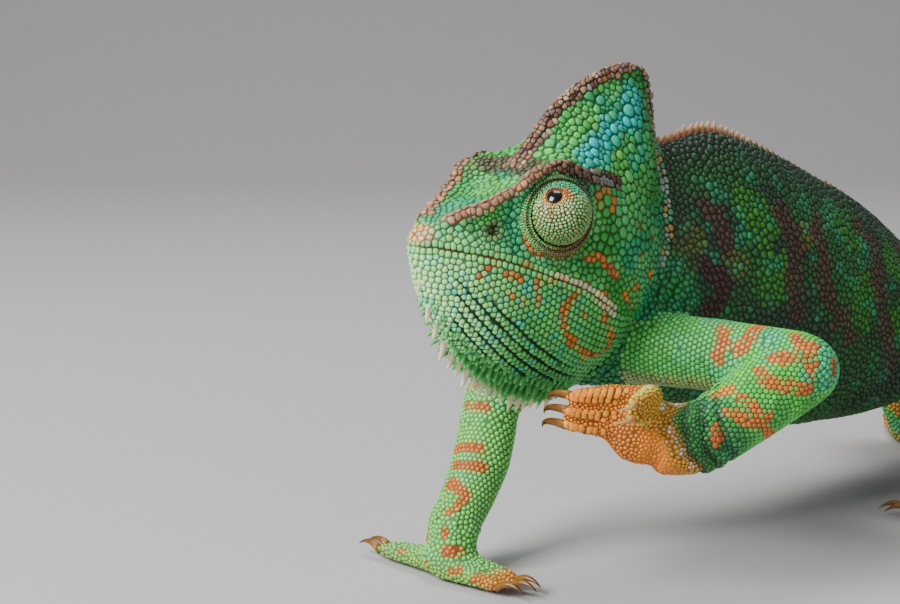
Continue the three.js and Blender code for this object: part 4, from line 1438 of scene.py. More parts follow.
    def _loose(self, trial: Seeds) -> list[Seeds]:
        """Scales of mixed sizes without rows, on the other regions."""
        made = []
        for region, grain in GRAINS.items():
            if grain.woven:
                continue
            here = trial.only(self.body.within(trial.nodes, region))
            vary = 1 + grain.spread * np.clip(self.random.normal(size=len(here)), -1.3, 2.2)
            here.sizes = here.sizes * vary
            chance = 1 / self.density / (0.78 * here.sizes**2)
            made.append(here.only(self.random.random(len(here)) < chance))
        return made

    def _holes(self, seeds: Seeds, trial: Seeds) -> Seeds:
        """Trial places with no scale near them."""
        tree = seeds.tree()
        some = trial.only(self.random.random(len(trial)) < self.hole_tries)
        found = [tree.find(place) for place in some.places.tolist()]
        gap = np.array([hit[2] for hit in found])
        near = seeds.sizes[[hit[1] for hit in found]]
        folded = self.body.within(some.nodes, Region.THROAT) & (slack(mirrored(some.places)) > 0.3)
        return some.only(gap > np.where(folded, self.fold_hole, self.hole) * (near + some.sizes))

    def _thinned(self, seeds: Seeds) -> Seeds:
        """The scales without those that crowd another; special rows are kept."""
        held = seeds.marks != Mark.PLAIN.value
        order = np.lexsort((-seeds.sizes, ~held))
        tree = seeds.tree()
        alive = np.ones(len(seeds), bool)
        places = seeds.places.tolist()
        reach = seeds.sizes * self.crowding
        for i in order.tolist():
            if not alive[i]:
                continue
            for _, j, gap in tree.find_range(places[i], reach[i]):
                if j != i and alive[j] and not held[j] and gap < (reach[i] + reach[j]) / 2:
                    if seeds.outward[i] @ seeds.outward[j] > 0:
                        alive[j] = False
        return seeds.only(alive)

    def _settled(self, seeds: Seeds, rounds: int) -> Seeds:
        """The scales after they have pushed each other apart along the skin."""
        folded = self.body.within(seeds.nodes, Region.THROAT) & (slack(mirrored(seeds.places)) > 0.5)
        free = (seeds.marks == Mark.PLAIN.value) & ~folded
        for i in range(rounds):
            if i % 3 == 0:
                near = seeds.neighbours()
            away = seeds.places[:, None] - seeds.places[near]
            gap = np.linalg.norm(away, axis=2)
            wanted = (seeds.sizes[:, None] + seeds.sizes[near]) / 2
            same_side = np.einsum("ik,ijk->ij", seeds.outward, seeds.outward[near]) > 0
            push = np.maximum(0, 1 - gap / wanted) * same_side / np.maximum(gap, 1e-6)
            move = (away * push[:, :, None]).sum(axis=1) * seeds.sizes[:, None] * self.push
            move -= np.einsum("ik,ik->i", move, seeds.outward)[:, None] * seeds.outward
            length = np.linalg.norm(move, axis=1, keepdims=True)
            move *= np.minimum(1, self.stride * seeds.sizes[:, None] / np.maximum(length, 1e-9))
            seeds.places[free] += move[free]
            if i % 3 == 2 or i == rounds - 1:
                seeds.places, seeds.outward, seeds.nodes = self.skin.under(seeds.places)
        return seeds


@dataclass
class Rows:
    """Special rows of scales along the head's lines and the fingers.

    Attributes:
        skin: the finished skin.
        nostril_ring: radius of the ring of scales round a nostril.
        ring_scales: how many scales it has.
        random: the source of variation.
    """

    skin: Skin
    nostril_ring: float = 1.8
    ring_scales: int = 9
    random: Random = field(default_factory=lambda: np.random.default_rng(SEED + 2))
    JITTER = {Mark.BROW: 0.26, Mark.CREST: 0.28, Mark.EDGE: 0.2}  # how unevenly some rows stand

    def along(
        self, corners: list[Place], spacing: float, size: float, mark: Mark, shift: Place = (0, 0, 0),
        both: bool = True,
    ) -> Seeds:
        """A row of scales along a curve, on both sides of the head.

        Args:
            corners: points of the curve on the left side.
            spacing: distance between scales.
            size: how far each keeps its other neighbours off.
            mark: the row's kind.
            shift: moves the whole row.
            both: whether the right side has the same row.

        Returns:
            The scales.
        """
        places = fair_path(corners, spacing) + np.array(shift)
        if both:
            places = np.vstack([places, places * np.array([-1, 1, 1])])
        loose = self.JITTER.get(mark, 0.1)
        made = self.on_skin(places + self.random.normal(0, loose, places.shape), size, mark)
        made.sizes *= self.random.normal(1, loose * 0.5, len(places))
        return made

    def on_skin(self, places: Array, size: float, mark: Mark) -> Seeds:
        """Scales at the places of the skin that are nearest to some points."""
        spots, outward, nodes = self.skin.under(places)
        return Seeds(spots, outward, np.full(len(spots), size), nodes, np.full(len(spots), mark.value))

    def head(self) -> list[Seeds]:
        """The lips, brows, casque crest, head edge and snout tip."""
        upper = [(x, y, z + 0.75) for x, y, z in MOUTH_LINE]
        lower = [(x, y, z - 0.75) for x, y, z in MOUTH_LINE]
        turn = np.arange(self.ring_scales)[:, None] * 2 * math.pi / self.ring_scales
        way = np.cos(turn) * [0.35, 0.93, 0.0] + np.sin(turn) * [0.0, 0.0, 1.0]
        ring = NOSTRIL + self.nostril_ring * way
        edge_inner = [(x + 1.4, y - 1.9, z) for x, y, z in HEAD_EDGE_LINE[1:]]
        return [
            self.along(upper, 1.3, 1.3, Mark.LIP),
            self.along(lower, 1.35, 1.35, Mark.LIP),
            self.along(BROW_LINE, 1.5, 1.7, Mark.BROW, (0.5, 0.0, -0.75)),
            self.along(BROW_LINE[:-1], 1.75, 1.9, Mark.BROW, (-0.9, 0.3, 0.55)),
            self.along(BROW_LINE[:4], 1.6, 1.6, Mark.BROW, (-2.2, 0.6, 1.1)),
            self.along(CREST_LINE, 1.3, 1.4, Mark.CREST, both=False),
            self.along(CREST_LINE, 1.3, 1.4, Mark.CREST, (1.15, 0.5, -0.5)),
            self.along(CREST_LINE, 1.35, 1.4, Mark.CREST, (1.8, 1.3, -1.7)),
            self.along(HEAD_EDGE_LINE, 1.5, 1.55, Mark.EDGE, (0.3, -0.6, 0.0)),
            self.along(edge_inner, 1.5, 1.55, Mark.EDGE),
            self.on_skin(np.vstack([ring, ring * [-1, 1, 1]]), 1.2, Mark.RIM),
            self.on_skin(np.array([[0, 0.4, 0.6], [1.9, 1.2, 0.7], [-1.9, 1.2, 0.7]]), 2.0, Mark.SNOUT),
        ]


@dataclass
class Coat:
    """Solid scales: low domes whose outlines keep clear of each other.

    Attributes:
        body: the frame's flesh.
        seeds: where they stand.
        gap: how much of the space between neighbours is left open.
        roundness: how sharp the outlines' corners are; higher is sharper.
        root: how deep their undersides reach into the skin.
        along: the way that each scale's width runs, if that matters.
        wrap: a skin whose curve the scales follow; without one they are flat underneath.
    """

    body: Body
    seeds: Seeds
    gap: float = 0.085
    roundness: float = 9.0
    root: float = 0.22
    along: Array | None = None
    wrap: BVHTree | None = None

    # For domes with 12 or 8 sides, the rings from the rim up: share of the reach, share of the
    # height, and how light the colour is there, as painted shade at each scale's foot and a painted highlight
    # towards its top.
    RINGS = {
        12: ((1.0, 0.0, 0.5), (0.9, 0.58, 0.88), (0.58, 0.93, 1.04)),
        8: ((1.0, 0.0, 0.5), (0.82, 0.72, 0.96)),
    }

    def frames(self) -> tuple[Array, Array]:
        """Two directions along the skin at each scale."""
        if self.along is not None:
            second = unit(np.cross(self.seeds.outward, self.along))
            return np.cross(second, self.seeds.outward), second
        up = np.where(np.abs(self.seeds.outward[:, 2:]) < 0.9, [[0.0, 0.0, 1.0]], [[0.0, 1.0, 0.0]])
        first = unit(np.cross(up, self.seeds.outward))
        return first, np.cross(self.seeds.outward, first)

    def outlines(self, sides: int) -> Array:
        """Each scale's reach in evenly spaced directions."""
        first, second = self.frames()
        near = self.seeds.neighbours()
        off = self.seeds.places[near] - self.seeds.places[:, None]
        gap = np.linalg.norm(off, axis=2)
        flat = np.stack([np.einsum("ijk,ik->ij", off, first), np.einsum("ijk,ik->ij", off, second)], axis=2)
        flat *= (gap / np.maximum(np.linalg.norm(flat, axis=2), 1e-6))[:, :, None]
        share = self.seeds.sizes[:, None] / (self.seeds.sizes[:, None] + self.seeds.sizes[near])
        same_side = np.einsum("ik,ijk->ij", self.seeds.outward, self.seeds.outward[near]) > -0.1
        toward = np.maximum(flat @ compass(sides).T, 0) / (share * gap**2)[:, :, None]
        toward *= same_side[:, :, None]
        limit = (1 / (self.seeds.sizes * self.body.figures(self.seeds.nodes, "room")))[:, None]
        total = (toward**self.roundness).sum(axis=1) + limit**self.roundness
        return (1 - self.gap) * total ** (-1 / self.roundness)

    def painted(self, markings: Markings, random: Random) -> None:
        """Colours the scales: each a little lighter or darker, and yellower or bluer, than the next.

        Args:
            markings: gives their colours.
            random: the source of variation.
        """
        seeds = self.seeds
        hues = markings.colours(seeds.places, seeds.outward, seeds.nodes, seeds.marks)
        mottle = self.body.figures(seeds.nodes, "mottle")[:, None]
        light = 1 + mottle * random.normal(0, 0.12, (len(hues), 1))
        lean = 1 + mottle * random.normal(0, 0.15, (len(hues), 1)) * np.array([1.1, 0.1, -1.2])
        self.hues = np.clip(hues * light * lean, 0.003, 0.95)
        rims = markings.colours(seeds.places, seeds.outward, seeds.nodes, seeds.marks, rim=True)
        self.rims = np.clip(rims * light, 0.003, 0.95)

    def build(self, markings: Markings, random: Random) -> None:
        """Makes the scales of each region as one object.

        Args:
            markings: gives their colours.
            random: the source of variation.
        """
        self.painted(markings, random)
        reach = {sides: self.outlines(sides) for sides in self.RINGS}
        on_skin = self.seeds.marks != Mark.LAMELLA.value
        for region, grain in GRAINS.items():
            sides = grain.sides
            chosen = np.flatnonzero(self.body.within(self.seeds.nodes, region) & on_skin)
            parts = max(1, math.ceil(len(chosen) / (TRIANGLES_MOST // self._triangles_each(sides))))
            order = chosen[np.argsort(self.seeds.places[chosen, 0 if region in HEAD_REGIONS else 1])]
            for i, part in enumerate(np.array_split(order, parts)):
                name = f"{region.value}_scales" + (f"_{i + 1}" if parts > 1 else "")
                roots = unwrapped(self.seeds.places[part], self.body, region)
                self.piece(name, sides, grain.height, part, reach[sides][part], roots, "scales", grain.slot)

    def ridges(
        self, name: str, half_widths: Array, half_length: float, height: float, region: Region
    ) -> None:
        """Makes long low ridges instead of round scales.

        Args:
            name: the object's name.
            half_widths: the reach of each across.
            half_length: their reach the other way.
            height: as a share of their width.
            region: whose bake map they lie on.
        """
        across, along = np.abs(compass(12)).T
        square = (across / half_widths[:, None]) ** 6 + (along / half_length) ** 6
        roots = unwrapped(self.seeds.places, self.body, region)
        part = np.arange(len(self.seeds))
        self.piece(name, 12, height, part, square ** (-1 / 6), roots, "scales", GRAINS[region].slot)

    def _triangles_each(self, sides: int) -> int:
        """How many triangles one scale has."""
        return sides * (2 * len(self.RINGS[sides]) - 1) + sides - 2

    def piece(
        self, name: str, sides: int, height: float, part: Array, reach: Array, roots: Array,
        finish: str, slot: str,
    ) -> None:
        """One object with some of the scales.

        Args:
            name: the object's name.
            sides: corners of an outline.
            height: dome height as a share of a scale's width.
            part: the numbers of its scales.
            reach: their outlines.
            roots: their places on the bake map.
            finish: the name of the material.
            slot: not used.
        """
        seeds = self.seeds.only(part)
        first, second = (way[part] for way in self.frames())
        rings = self.RINGS[sides]
        count = len(part)
        rim = compass(sides)
        ways = rim[None, :, :1] * first[:, None] + rim[None, :, 1:] * second[:, None]
        tall = height * 2 * reach.mean(axis=1)
        layers, tints, spots = [], [], []
        for share, rise, light in rings:
            lift = tall * rise - (self.root if rise == 0 else 0)
            spread = seeds.places[:, None] + ways * (reach * share)[:, :, None]
            up = seeds.outward[:, None]
            if self.wrap is not None:
                found = nearest(self.wrap, spread.reshape(-1, 3))
                spread, up = found[0].reshape(spread.shape), found[1].reshape(spread.shape)
            layers.append(spread + up * lift[:, None, None])
            # painted shade and highlight: each ring's colour is scaled by its lightness in RINGS
            tint = mixed(self.rims[part], self.hues[part], rise) * light
            tints.append(np.repeat(tint[:, None], sides, axis=1))
            spots.append(np.tile(rim * share, (count, 1, 1)))
        layers.append((seeds.places + seeds.outward * tall[:, None])[:, None])
        # painted highlight: the top of each dome is lighter than its colour
        tints.append((self.hues[part] * 1.1)[:, None])
        spots.append(np.zeros((count, 1, 2)))
        places = roots[:, None] + np.concatenate(spots, axis=1) * UV_PATCH / 2
        surface, colours = domed(layers, tints, sides)
        add_mesh(name, surface, self.body.origin, colours, finish, places.reshape(-1, 2))
        log.info("%s: %d scales", name, count)


def compass(sides: int) -> Array:
    """Evenly spaced directions in a plane, one per row."""
    angle = np.arange(sides) * 2 * math.pi / sides
    return np.column_stack([np.cos(angle), np.sin(angle)])


def domed(layers: list[Array], tints: list[Array], sides: int) -> tuple[Surface, Array]:
    """Many closed domes or cones, all with the same number of rings.

    Args:
        layers: for each ring from the rim up, its corners for each dome; and last the tops.
        tints: the colours of the same.
        sides: corners of a ring.

    Returns:
        The surface, and the colour of each of its points.
    """
    rings = len(layers) - 1
    top = rings * sides
    faces = []
    for ring in range(rings - 1):
        for k in range(sides):
            a, b = ring * sides + k, ring * sides + (k + 1) % sides
            faces += [(a, b, b + sides), (a, b + sides, a + sides)]
    faces += [(top - sides + k, top - sides + (k + 1) % sides, top) for k in range(sides)]
    faces += [(0, k + 1, k) for k in range(1, sides - 1)]
    points, colours = (np.concatenate(each, axis=1) for each in (layers, tints))
    triangles = (np.arange(len(points))[:, None, None] * (top + 1) + np.array(faces)[None]).reshape(-1, 3)
    return Surface(points.reshape(-1, 3), triangles), colours.reshape(-1, 3)


def unwrapped(points: Array, body: Body, region: Region) -> Array:
    """Where places of a region fall on its bake map: its skin rolled flat.

    Args:
        points: the places.
        body: the frame's flesh.
        region: the region that they are on.

    Returns:
        Two numbers from 0 to 1 for each place.
    """
    whole = np.vstack([body.shapes[name].points for name in GRAINS[region].nodes])
    middle, along, aside, up = Body.axis(whole)
    off = points - middle
    reach = (whole - middle) @ along
    run = (off @ along - reach.min()) / (reach.max() - reach.min())
    turn = np.arctan2(off @ up, off @ aside) / (2 * math.pi) + 0.5
    return 0.01 + 0.98 * np.clip(np.column_stack([turn, run]), 0, 1)


# ------------------------------------------------------------------ materials


@dataclass(frozen=True)
class Finish:
    """How a surface shines and how fine its grain is.

    Attributes:
        roughness: the surface's mean roughness.
        coat: weight of the clear layer over it.
        bump: depth of the grain, in metres.
        grain: lumps of the grain in a metre.
        contrast: how much the colour varies with the grain.
    """

    roughness: float
    coat: float = 0.0
    bump: float = 0.00004
    grain: float = 1500.0
    contrast: float = 0.25


FINISHES: dict[str, Finish] = {
    "scales": Finish(0.46, coat=0.08, bump=0.00005, grain=1700.0, contrast=0.30),
    "skin": Finish(0.72, bump=0.0001, grain=1100.0, contrast=0.35),
    "turret": Finish(0.40, coat=0.12, bump=0.00003, grain=2600.0, contrast=0.25),
    "eyeball": Finish(0.08, coat=0.2, bump=0.0, grain=3000.0, contrast=0.15),
    "claw": Finish(0.34, coat=0.25, bump=0.00003, grain=900.0, contrast=0.45),
    "spine": Finish(0.5, bump=0.00004, grain=1200.0, contrast=0.2),
}


class Materials:
    """The materials, each made when it is first asked for."""

    made: dict[str, bpy.types.Material] = {}
    group: bpy.types.NodeTree | None = None

    @classmethod
    def get(cls, name: str) -> bpy.types.Material:
        """The material of that name in FINISHES."""
        if name not in cls.made:
            cls.made[name] = cls._make(name, FINISHES[name])
        return cls.made[name]

    @classmethod
    def _grain_group(cls) -> bpy.types.NodeTree:
        """The shared grain: it breaks up a colour and gives a height and a roughness."""
        if cls.group is not None:
            return cls.group
        tree = bpy.data.node_groups.new("fine grain", "ShaderNodeTree")
        given = {"Hue": "Color", "Grain": "Float", "Contrast": "Float", "Roughness": "Float"}
        for name, kind in given.items():
            tree.interface.new_socket(name, in_out="INPUT", socket_type=f"NodeSocket{kind}")
        for name, kind in (("Color", "Color"), ("Roughness", "Float"), ("Height", "Float")):
            tree.interface.new_socket(name, in_out="OUTPUT", socket_type=f"NodeSocket{kind}")
        nodes, links = tree.nodes, tree.links
        given, out = nodes.new("NodeGroupInput"), nodes.new("NodeGroupOutput")
        place = nodes.new("ShaderNodeTexCoord")
        noise = nodes.new("ShaderNodeTexNoise")
        noise.inputs["Detail"].default_value = 3.0
        links.new(place.outputs["Object"], noise.inputs["Vector"])
        links.new(given.outputs["Grain"], noise.inputs["Scale"])
        centred = cls._sum(tree, "SUBTRACT", noise.outputs["Fac"], 0.5)
        swing = cls._sum(tree, "MULTIPLY", centred, given.outputs["Contrast"])
        gain = cls._sum(tree, "MULTIPLY_ADD", swing, 2.0, 1.0)
        scale = nodes.new("ShaderNodeVectorMath")
        scale.operation = "SCALE"
        links.new(given.outputs["Hue"], scale.inputs[0])
        links.new(gain, scale.inputs["Scale"])
        links.new(scale.outputs["Vector"], out.inputs["Color"])
        rough = cls._sum(tree, "MULTIPLY_ADD", centred, 0.3, given.outputs["Roughness"])
        links.new(rough, out.inputs["Roughness"])
        links.new(noise.outputs["Fac"], out.inputs["Height"])
        cls.group = tree
        return tree

    @staticmethod
    def _sum(tree: bpy.types.NodeTree, operation: str, *values: object) -> bpy.types.NodeSocket:
        """A maths node; values are sockets or numbers."""
        node = tree.nodes.new("ShaderNodeMath")
        node.operation = operation
        for socket, value in zip(node.inputs, values):
            if isinstance(value, float):
                socket.default_value = value
            else:
                tree.links.new(value, socket)
        return node.outputs[0]

    @classmethod
    def _make(cls, name: str, finish: Finish) -> bpy.types.Material:
        """A material whose colour is painted on the mesh."""
        made = bpy.data.materials.new(name)
        made.use_nodes = True
        tree = made.node_tree
        shader = tree.nodes["Principled BSDF"]
        paint = tree.nodes.new("ShaderNodeAttribute")
        paint.attribute_name = HUE
        grain = tree.nodes.new("ShaderNodeGroup")
        grain.node_tree = cls._grain_group()
        grain.inputs["Grain"].default_value = finish.grain
        grain.inputs["Contrast"].default_value = finish.contrast
        grain.inputs["Roughness"].default_value = finish.roughness
        tree.links.new(paint.outputs["Color"], grain.inputs["Hue"])
        tree.links.new(grain.outputs["Color"], shader.inputs["Base Color"])
        tree.links.new(grain.outputs["Roughness"], shader.inputs["Roughness"])
        shader.inputs["Coat Weight"].default_value = finish.coat
        shader.inputs["Coat Roughness"].default_value = 0.3
        if finish.bump > 0:
            bump = tree.nodes.new("ShaderNodeBump")
            bump.inputs["Distance"].default_value = finish.bump
            tree.links.new(grain.outputs["Height"], bump.inputs["Height"])
            tree.links.new(bump.outputs["Normal"], shader.inputs["Normal"])
        return made


# ------------------------------------------------------------------ hand


@dataclass
class Hand:
    """The raised left hand: the ridges under its fingers.

    Attributes:
        body: the frame's flesh and claws.
        rows: puts scales on the skin.
        pitch: distance between ridges.
        ridges: how many there are under each inner digit.
        fanning: how each line of ridges turns aside towards the palm.
        overhang: how far they reach past the first and the last inner digit.
        digit_radius: from a digit's middle to its skin.
        flat, edge_radius: beyond flat, a ridge bends round the edge of the hand with this radius.
        pad, pad_share: a ridge is a row of pads about this wide, and half a pad this share of it.
    """

    body: Body
    rows: Rows
    pitch: float = 1.4
    ridges: tuple[int, ...] = (9, 8, 7)
    fanning: tuple[float, ...] = (-0.12, -0.04, 0.1)
    overhang: tuple[float, float] = (3.9, 1.8)
    digit_radius: float = 2.6
    flat: float = 1.6
    edge_radius: float = 1.6
    pad: float = 1.0
    pad_share: float = 0.56
    MIDDLE = np.array([28.4, 37.6, -38.8])
    WRIST = np.array([37.5, 48.0, -39.5])
    REACH = unit(np.array([-0.5, -0.84, 0.21]))
    PALM_FACING = unit(np.array([0.873, -0.477, 0.105]))
    CUFF_WAY = unit(np.array([0.865, 0.25, 0.43]))
    CUFF = 23.3  # where the palm ends, measured that way from the snout
    FIRST_CREASE = 1.9  # past the cuff
    CREASE_PITCH = 2.7
    CREASE_WIDTH = 0.55
    # painted shade: how much darker the wrist's creases are
    CREASE_SHADE = 0.55
    RIPPLE_PITCH = 2.4  # of the rows of pale scales on the outer digits

    def __post_init__(self) -> None:
        """Lays out the ridges."""
        claws, reach, aside = Digits(self.body, "left_hand").bundles[0]
        across = np.array([claw.root @ aside for claw in claws])
        inner = (across[1:] + across[:-1]) / 2
        edges = [across[0] - self.overhang[0], *inner, across[-1] + self.overhang[1]]
        places, widths = [], []
        for claw, low, high, count, fan in zip(claws, edges, edges[1:], self.ridges, self.fanning):
            pads = round((high - low) / self.pad)
            off = (np.arange(pads) + 0.5) / pads * (high - low) + low - claw.root @ aside
            turn = np.maximum(0, -self.flat - off) / self.edge_radius
            side = np.maximum(off, -self.flat) - self.edge_radius * np.sin(turn)
            rise = self.digit_radius - self.edge_radius * (1 - np.cos(turn))
            for run in 0.9 + np.arange(count) * self.pitch:
                ridge = claw.root - run * (reach - fan * aside)
                places.append(ridge + side[:, None] * aside + rise[:, None] * self.PALM_FACING)
                widths.append(np.full(pads, (high - low) / pads * self.pad_share))
        self.half_widths = np.concatenate(widths)
        self.middles = self.rows.on_skin(np.vstack(places), 1.2, Mark.LAMELLA)
        self.across = np.tile(aside, (len(self.middles), 1))

    @classmethod
    def cuff(cls, points: Array) -> Array:
        """How far places are past the palm's end, on the wrist; negative on the palm."""
        off = points - cls.MIDDLE
        return np.maximum(points @ cls.CUFF_WAY - cls.CUFF, -(off @ cls.REACH) - 11.5)

    @classmethod
    def creases(cls, points: Array) -> Array:
        """How far in one of the folds of skin round the wrist places are, from 0 to 1."""
        run = cls.cuff(points) + 0.7 * np.sin(points[:, 2] / 2.6)
        off = ((run - cls.FIRST_CREASE) / cls.CREASE_PITCH + 0.5) % 1 - 0.5
        among = step(0.6, 1.4, run) * step(9.8, 8.6, run) * step(14.0, 11.5, distance(points, cls.WRIST))
        return among * hump(off * cls.CREASE_PITCH, 0, cls.CREASE_WIDTH)

    @classmethod
    def outer_digits(cls, points: Array) -> Array:
        """How much places belong to the two outer digits, from 0 to 1."""
        off = points - cls.MIDDLE
        return step(4.4, 5.4, off @ cls.PALM_FACING) * step(-3.0, -1.2, off @ cls.REACH)

    @classmethod
    def ridged(cls, points: Array) -> Array:
        """How much places belong to the ridged undersides of the fingers, from 0 to 1."""
        return step(0.0, 3.0, (points - cls.MIDDLE) @ cls.REACH)

    @classmethod
    def smooth(cls, points: Array, outward: Array) -> Array:
        """Which places are on the bare skin of the palm."""
        flat = (outward @ cls.PALM_FACING > 0.12) & (cls.cuff(points) < -1.3)
        return flat & (cls.outer_digits(points) < 0.4)

    def build(self, markings: Markings, random: Random) -> None:
        """Makes the ridges, with dark skin between them and their feet darkened as painted shade in the
        grooves.
        """
        coat = Coat(self.body, self.middles, along=self.across, root=0.3, wrap=self.rows.skin.tree)
        coat.painted(markings, random)
        # painted shade: the feet of the ridges are darkened
        coat.rims *= 0.27
        coat.ridges("left_hand_ridges", self.half_widths, self.pitch * 0.45, 0.2, Region.LEFT_HAND)


# ------------------------------------------------------------------ spines and claws


@dataclass
class Horns:
    """Many small curved cones as one object.

    Attributes:
        name: the object's name.
        finish: its material.
        slot: not used.
        sides: corners of a cone's section.
        stations: rings along a cone.
        taper: how late a cone thins towards its tip; lower is later.
        flat: thickness across as a share of that fore and aft.
    """

    name: str
    finish: str
    slot: str
    sides: int = 8
    stations: int = 6
    taper: float = 0.75
    flat: float = 1.0

    def build(
        self, origin: Array, roots: Array, tips: Array, radii: Array, bows: Array, low: Array, high: Array
    ) -> bpy.types.Object:
        """Makes the cones.

        Args:
            origin: the snout tip in the world.
            roots, tips: the ends of their middle lines.
            radii: thickness at the roots.
            bows: how far the middle of each line is pushed aside.
            low, high: colours at the root and at the tip.

        Returns:
            The object.
        """
        low, high = (np.broadcast_to(colour, roots.shape) for colour in (low, high))
        share = np.linspace(0, 1, self.stations)
        along = unit(tips - roots)
        aside = unit(np.cross(along, [0.0, 1.0, 0.02]))
        lift = np.cross(aside, along)
        rim = compass(self.sides)
        ring = self.flat * rim[None, :, :1] * aside[:, None] + rim[None, :, 1:] * lift[:, None]
        layers, tints = [], []
        for t in share[:-1]:
            centre = roots + (tips - roots) * t + bows * 4 * t * (1 - t)
            layers.append(centre[:, None] + ring * (radii * (1 - t) ** self.taper)[:, None, None])
            tints.append(np.repeat(mixed(low, high, t**1.5)[:, None], self.sides, axis=1))
        surface, colours = domed([*layers, tips[:, None]], [*tints, high[:, None]], self.sides)
        turn = np.append(np.tile(rim[:, 0], self.stations - 1), 0.0) * UV_PATCH / 2
        rise = np.append(np.repeat(share[:-1], self.sides), 1.0) * UV_PATCH
        place = np.linspace(0.02, 0.98, len(roots))[:, None]
        places = np.stack([place + turn, 0.5 + np.tile(rise, (len(roots), 1))], axis=2).reshape(-1, 2)
        made = add_mesh(self.name, surface, origin, colours, self.finish, places)
        log.info("%s: %d cones", self.name, len(roots))
        return made


@dataclass
class Crests:
    """The soft spines under the throat, along the back and along the belly.

    Attributes:
        body: the frame's flesh.
        skin: the skin that they stand on.
        throat_end: how far back the throat's spines reach.
        root: how deep they stand in the skin.
        beside: the rows beside the middle one of the throat: how far out, the length and the colour.
        back: the rows of the back: name, start, end, extra length over the shoulders and tip colour.
        random: the source of variation.
    """

    body: Body
    skin: Skin
    throat_end: float = 42.0
    root: float = 0.6
    beside: tuple[tuple[float, float, Array], ...] = (
        (1.6, 3.0, MINT), (2.9, 3.1, CHIN_GREEN), (4.2, 2.6, CHIN_GREEN), (5.4, 1.8, CHIN_GREEN)
    )
    back: tuple[tuple[str, float, float, float, Array], ...] = (
        ("front", 72, 104, 1.7, SPINE_CREAM), ("rear", 104, 190, 0.6, OCHRE * 0.5)
    )
    random: Random = field(default_factory=lambda: np.random.default_rng(SEED + 9))

    def _surface_at(self, x: float, y: float, below: bool) -> Array:
        """The lowest, or highest, place of the skin at one place seen from above."""
        side = -1.0 if below else 1.0
        return np.array(self.skin.tree.ray_cast(Vector((x, y, 60.0 * side)), Vector((0, 0, -side)))[0])

    def build(self) -> None:
        """Makes the three crests."""
        self._throat()
        self._back()
        self._belly()

    def _row(
        self, name: str, spots: list[tuple[float, float]], lean: Place, length: Array, radius: float,
        low: Array, high: Array, slot: str,
    ) -> None:
        """Makes one crest of cones.

        Args:
            name: the object's name.
            spots: where they stand, as seen from above.
            lean: the way that they point, on the left side; downwards under the body.
            length: of each.
            radius: at the root of the longest.
            low, high: colours at the root and at the tip.
            slot: a label for the group of pieces, handed on to the cones.
        """
        roots = np.array([self._surface_at(x, y, lean[2] < 0) for x, y in spots])
        way = unit(np.array([[lean[0] * np.sign(x), lean[1], lean[2]] for x, _ in spots]))
        way = unit(way + self.random.normal(0, 0.06, way.shape))
        tips = roots + way * (length * self.random.normal(1, 0.08, len(roots)))[:, None]
        radii = np.full(len(roots), radius) * np.sqrt(length / length.max())
        Horns(name, "spine", slot, taper=0.62, flat=0.75).build(
            self.body.origin, roots - way * self.root, tips, radii, np.array([0.0, 0.18, 0.0]), low, high
        )

    def _swell(self, y: Array, start: float) -> Array:
        """How long the throat's spines are along it, from 0 to 1, with the longest in its middle."""
        return np.sin(math.pi * np.clip((y - start) / self.throat_end, 0, 1)) ** 0.7

    def _throat(self) -> None:
        """White cones down the middle of the chin and throat, and green ones beside them."""
        y = np.arange(3.2, self.throat_end, 2.1)
        length = 1.8 + 2.4 * self._swell(y, 1)
        middle = [(0.0, v) for v in y]
        low, high = IVORY * 0.8, IVORY * 1.2
        self._row("throat_spines", middle, (0, -0.4, -0.92), length, 1.15, low, high, "head_scales")
        y = np.repeat(np.arange(4.5, self.throat_end, 1.5), 2)
        for reach, size, shade in self.beside:
            spots = [((1, -1)[i % 2] * reach * (0.6 + 0.012 * v), v + 0.8) for i, v in enumerate(y)]
            length = 0.2 * size + 0.8 * size * self._swell(y, 3)
            name = f"chin_spines_{reach:.0f}"
            self._row(name, spots, (0.35, -0.62, -0.7), length, 1.0, shade * 0.5, shade, "head_scales")

    def _back(self) -> None:
        """Low cones along the back, longest and palest over the shoulders."""
        for name, start, end, tall, tip in self.back:
            y = np.arange(start, end, 2.1)
            length = 1.1 + tall * hump(y, 84, 20)
            spots = [(0.0, v) for v in y]
            name = f"back_spines_{name}"
            self._row(name, spots, (0, 0.25, 0.95), length, 1.2, RUST * 0.7, tip, "trunk_scales")

    def _belly(self) -> None:
        """A fine white row along the middle of the belly."""
        spots = [(0.0, v) for v in np.arange(62, 186, 1.9)]
        length = np.full(len(spots), 1.1)
        self._row("belly_spines", spots, (0, 0.2, -0.95), length, 0.7, IVORY * 0.8, IVORY, "trunk_scales")


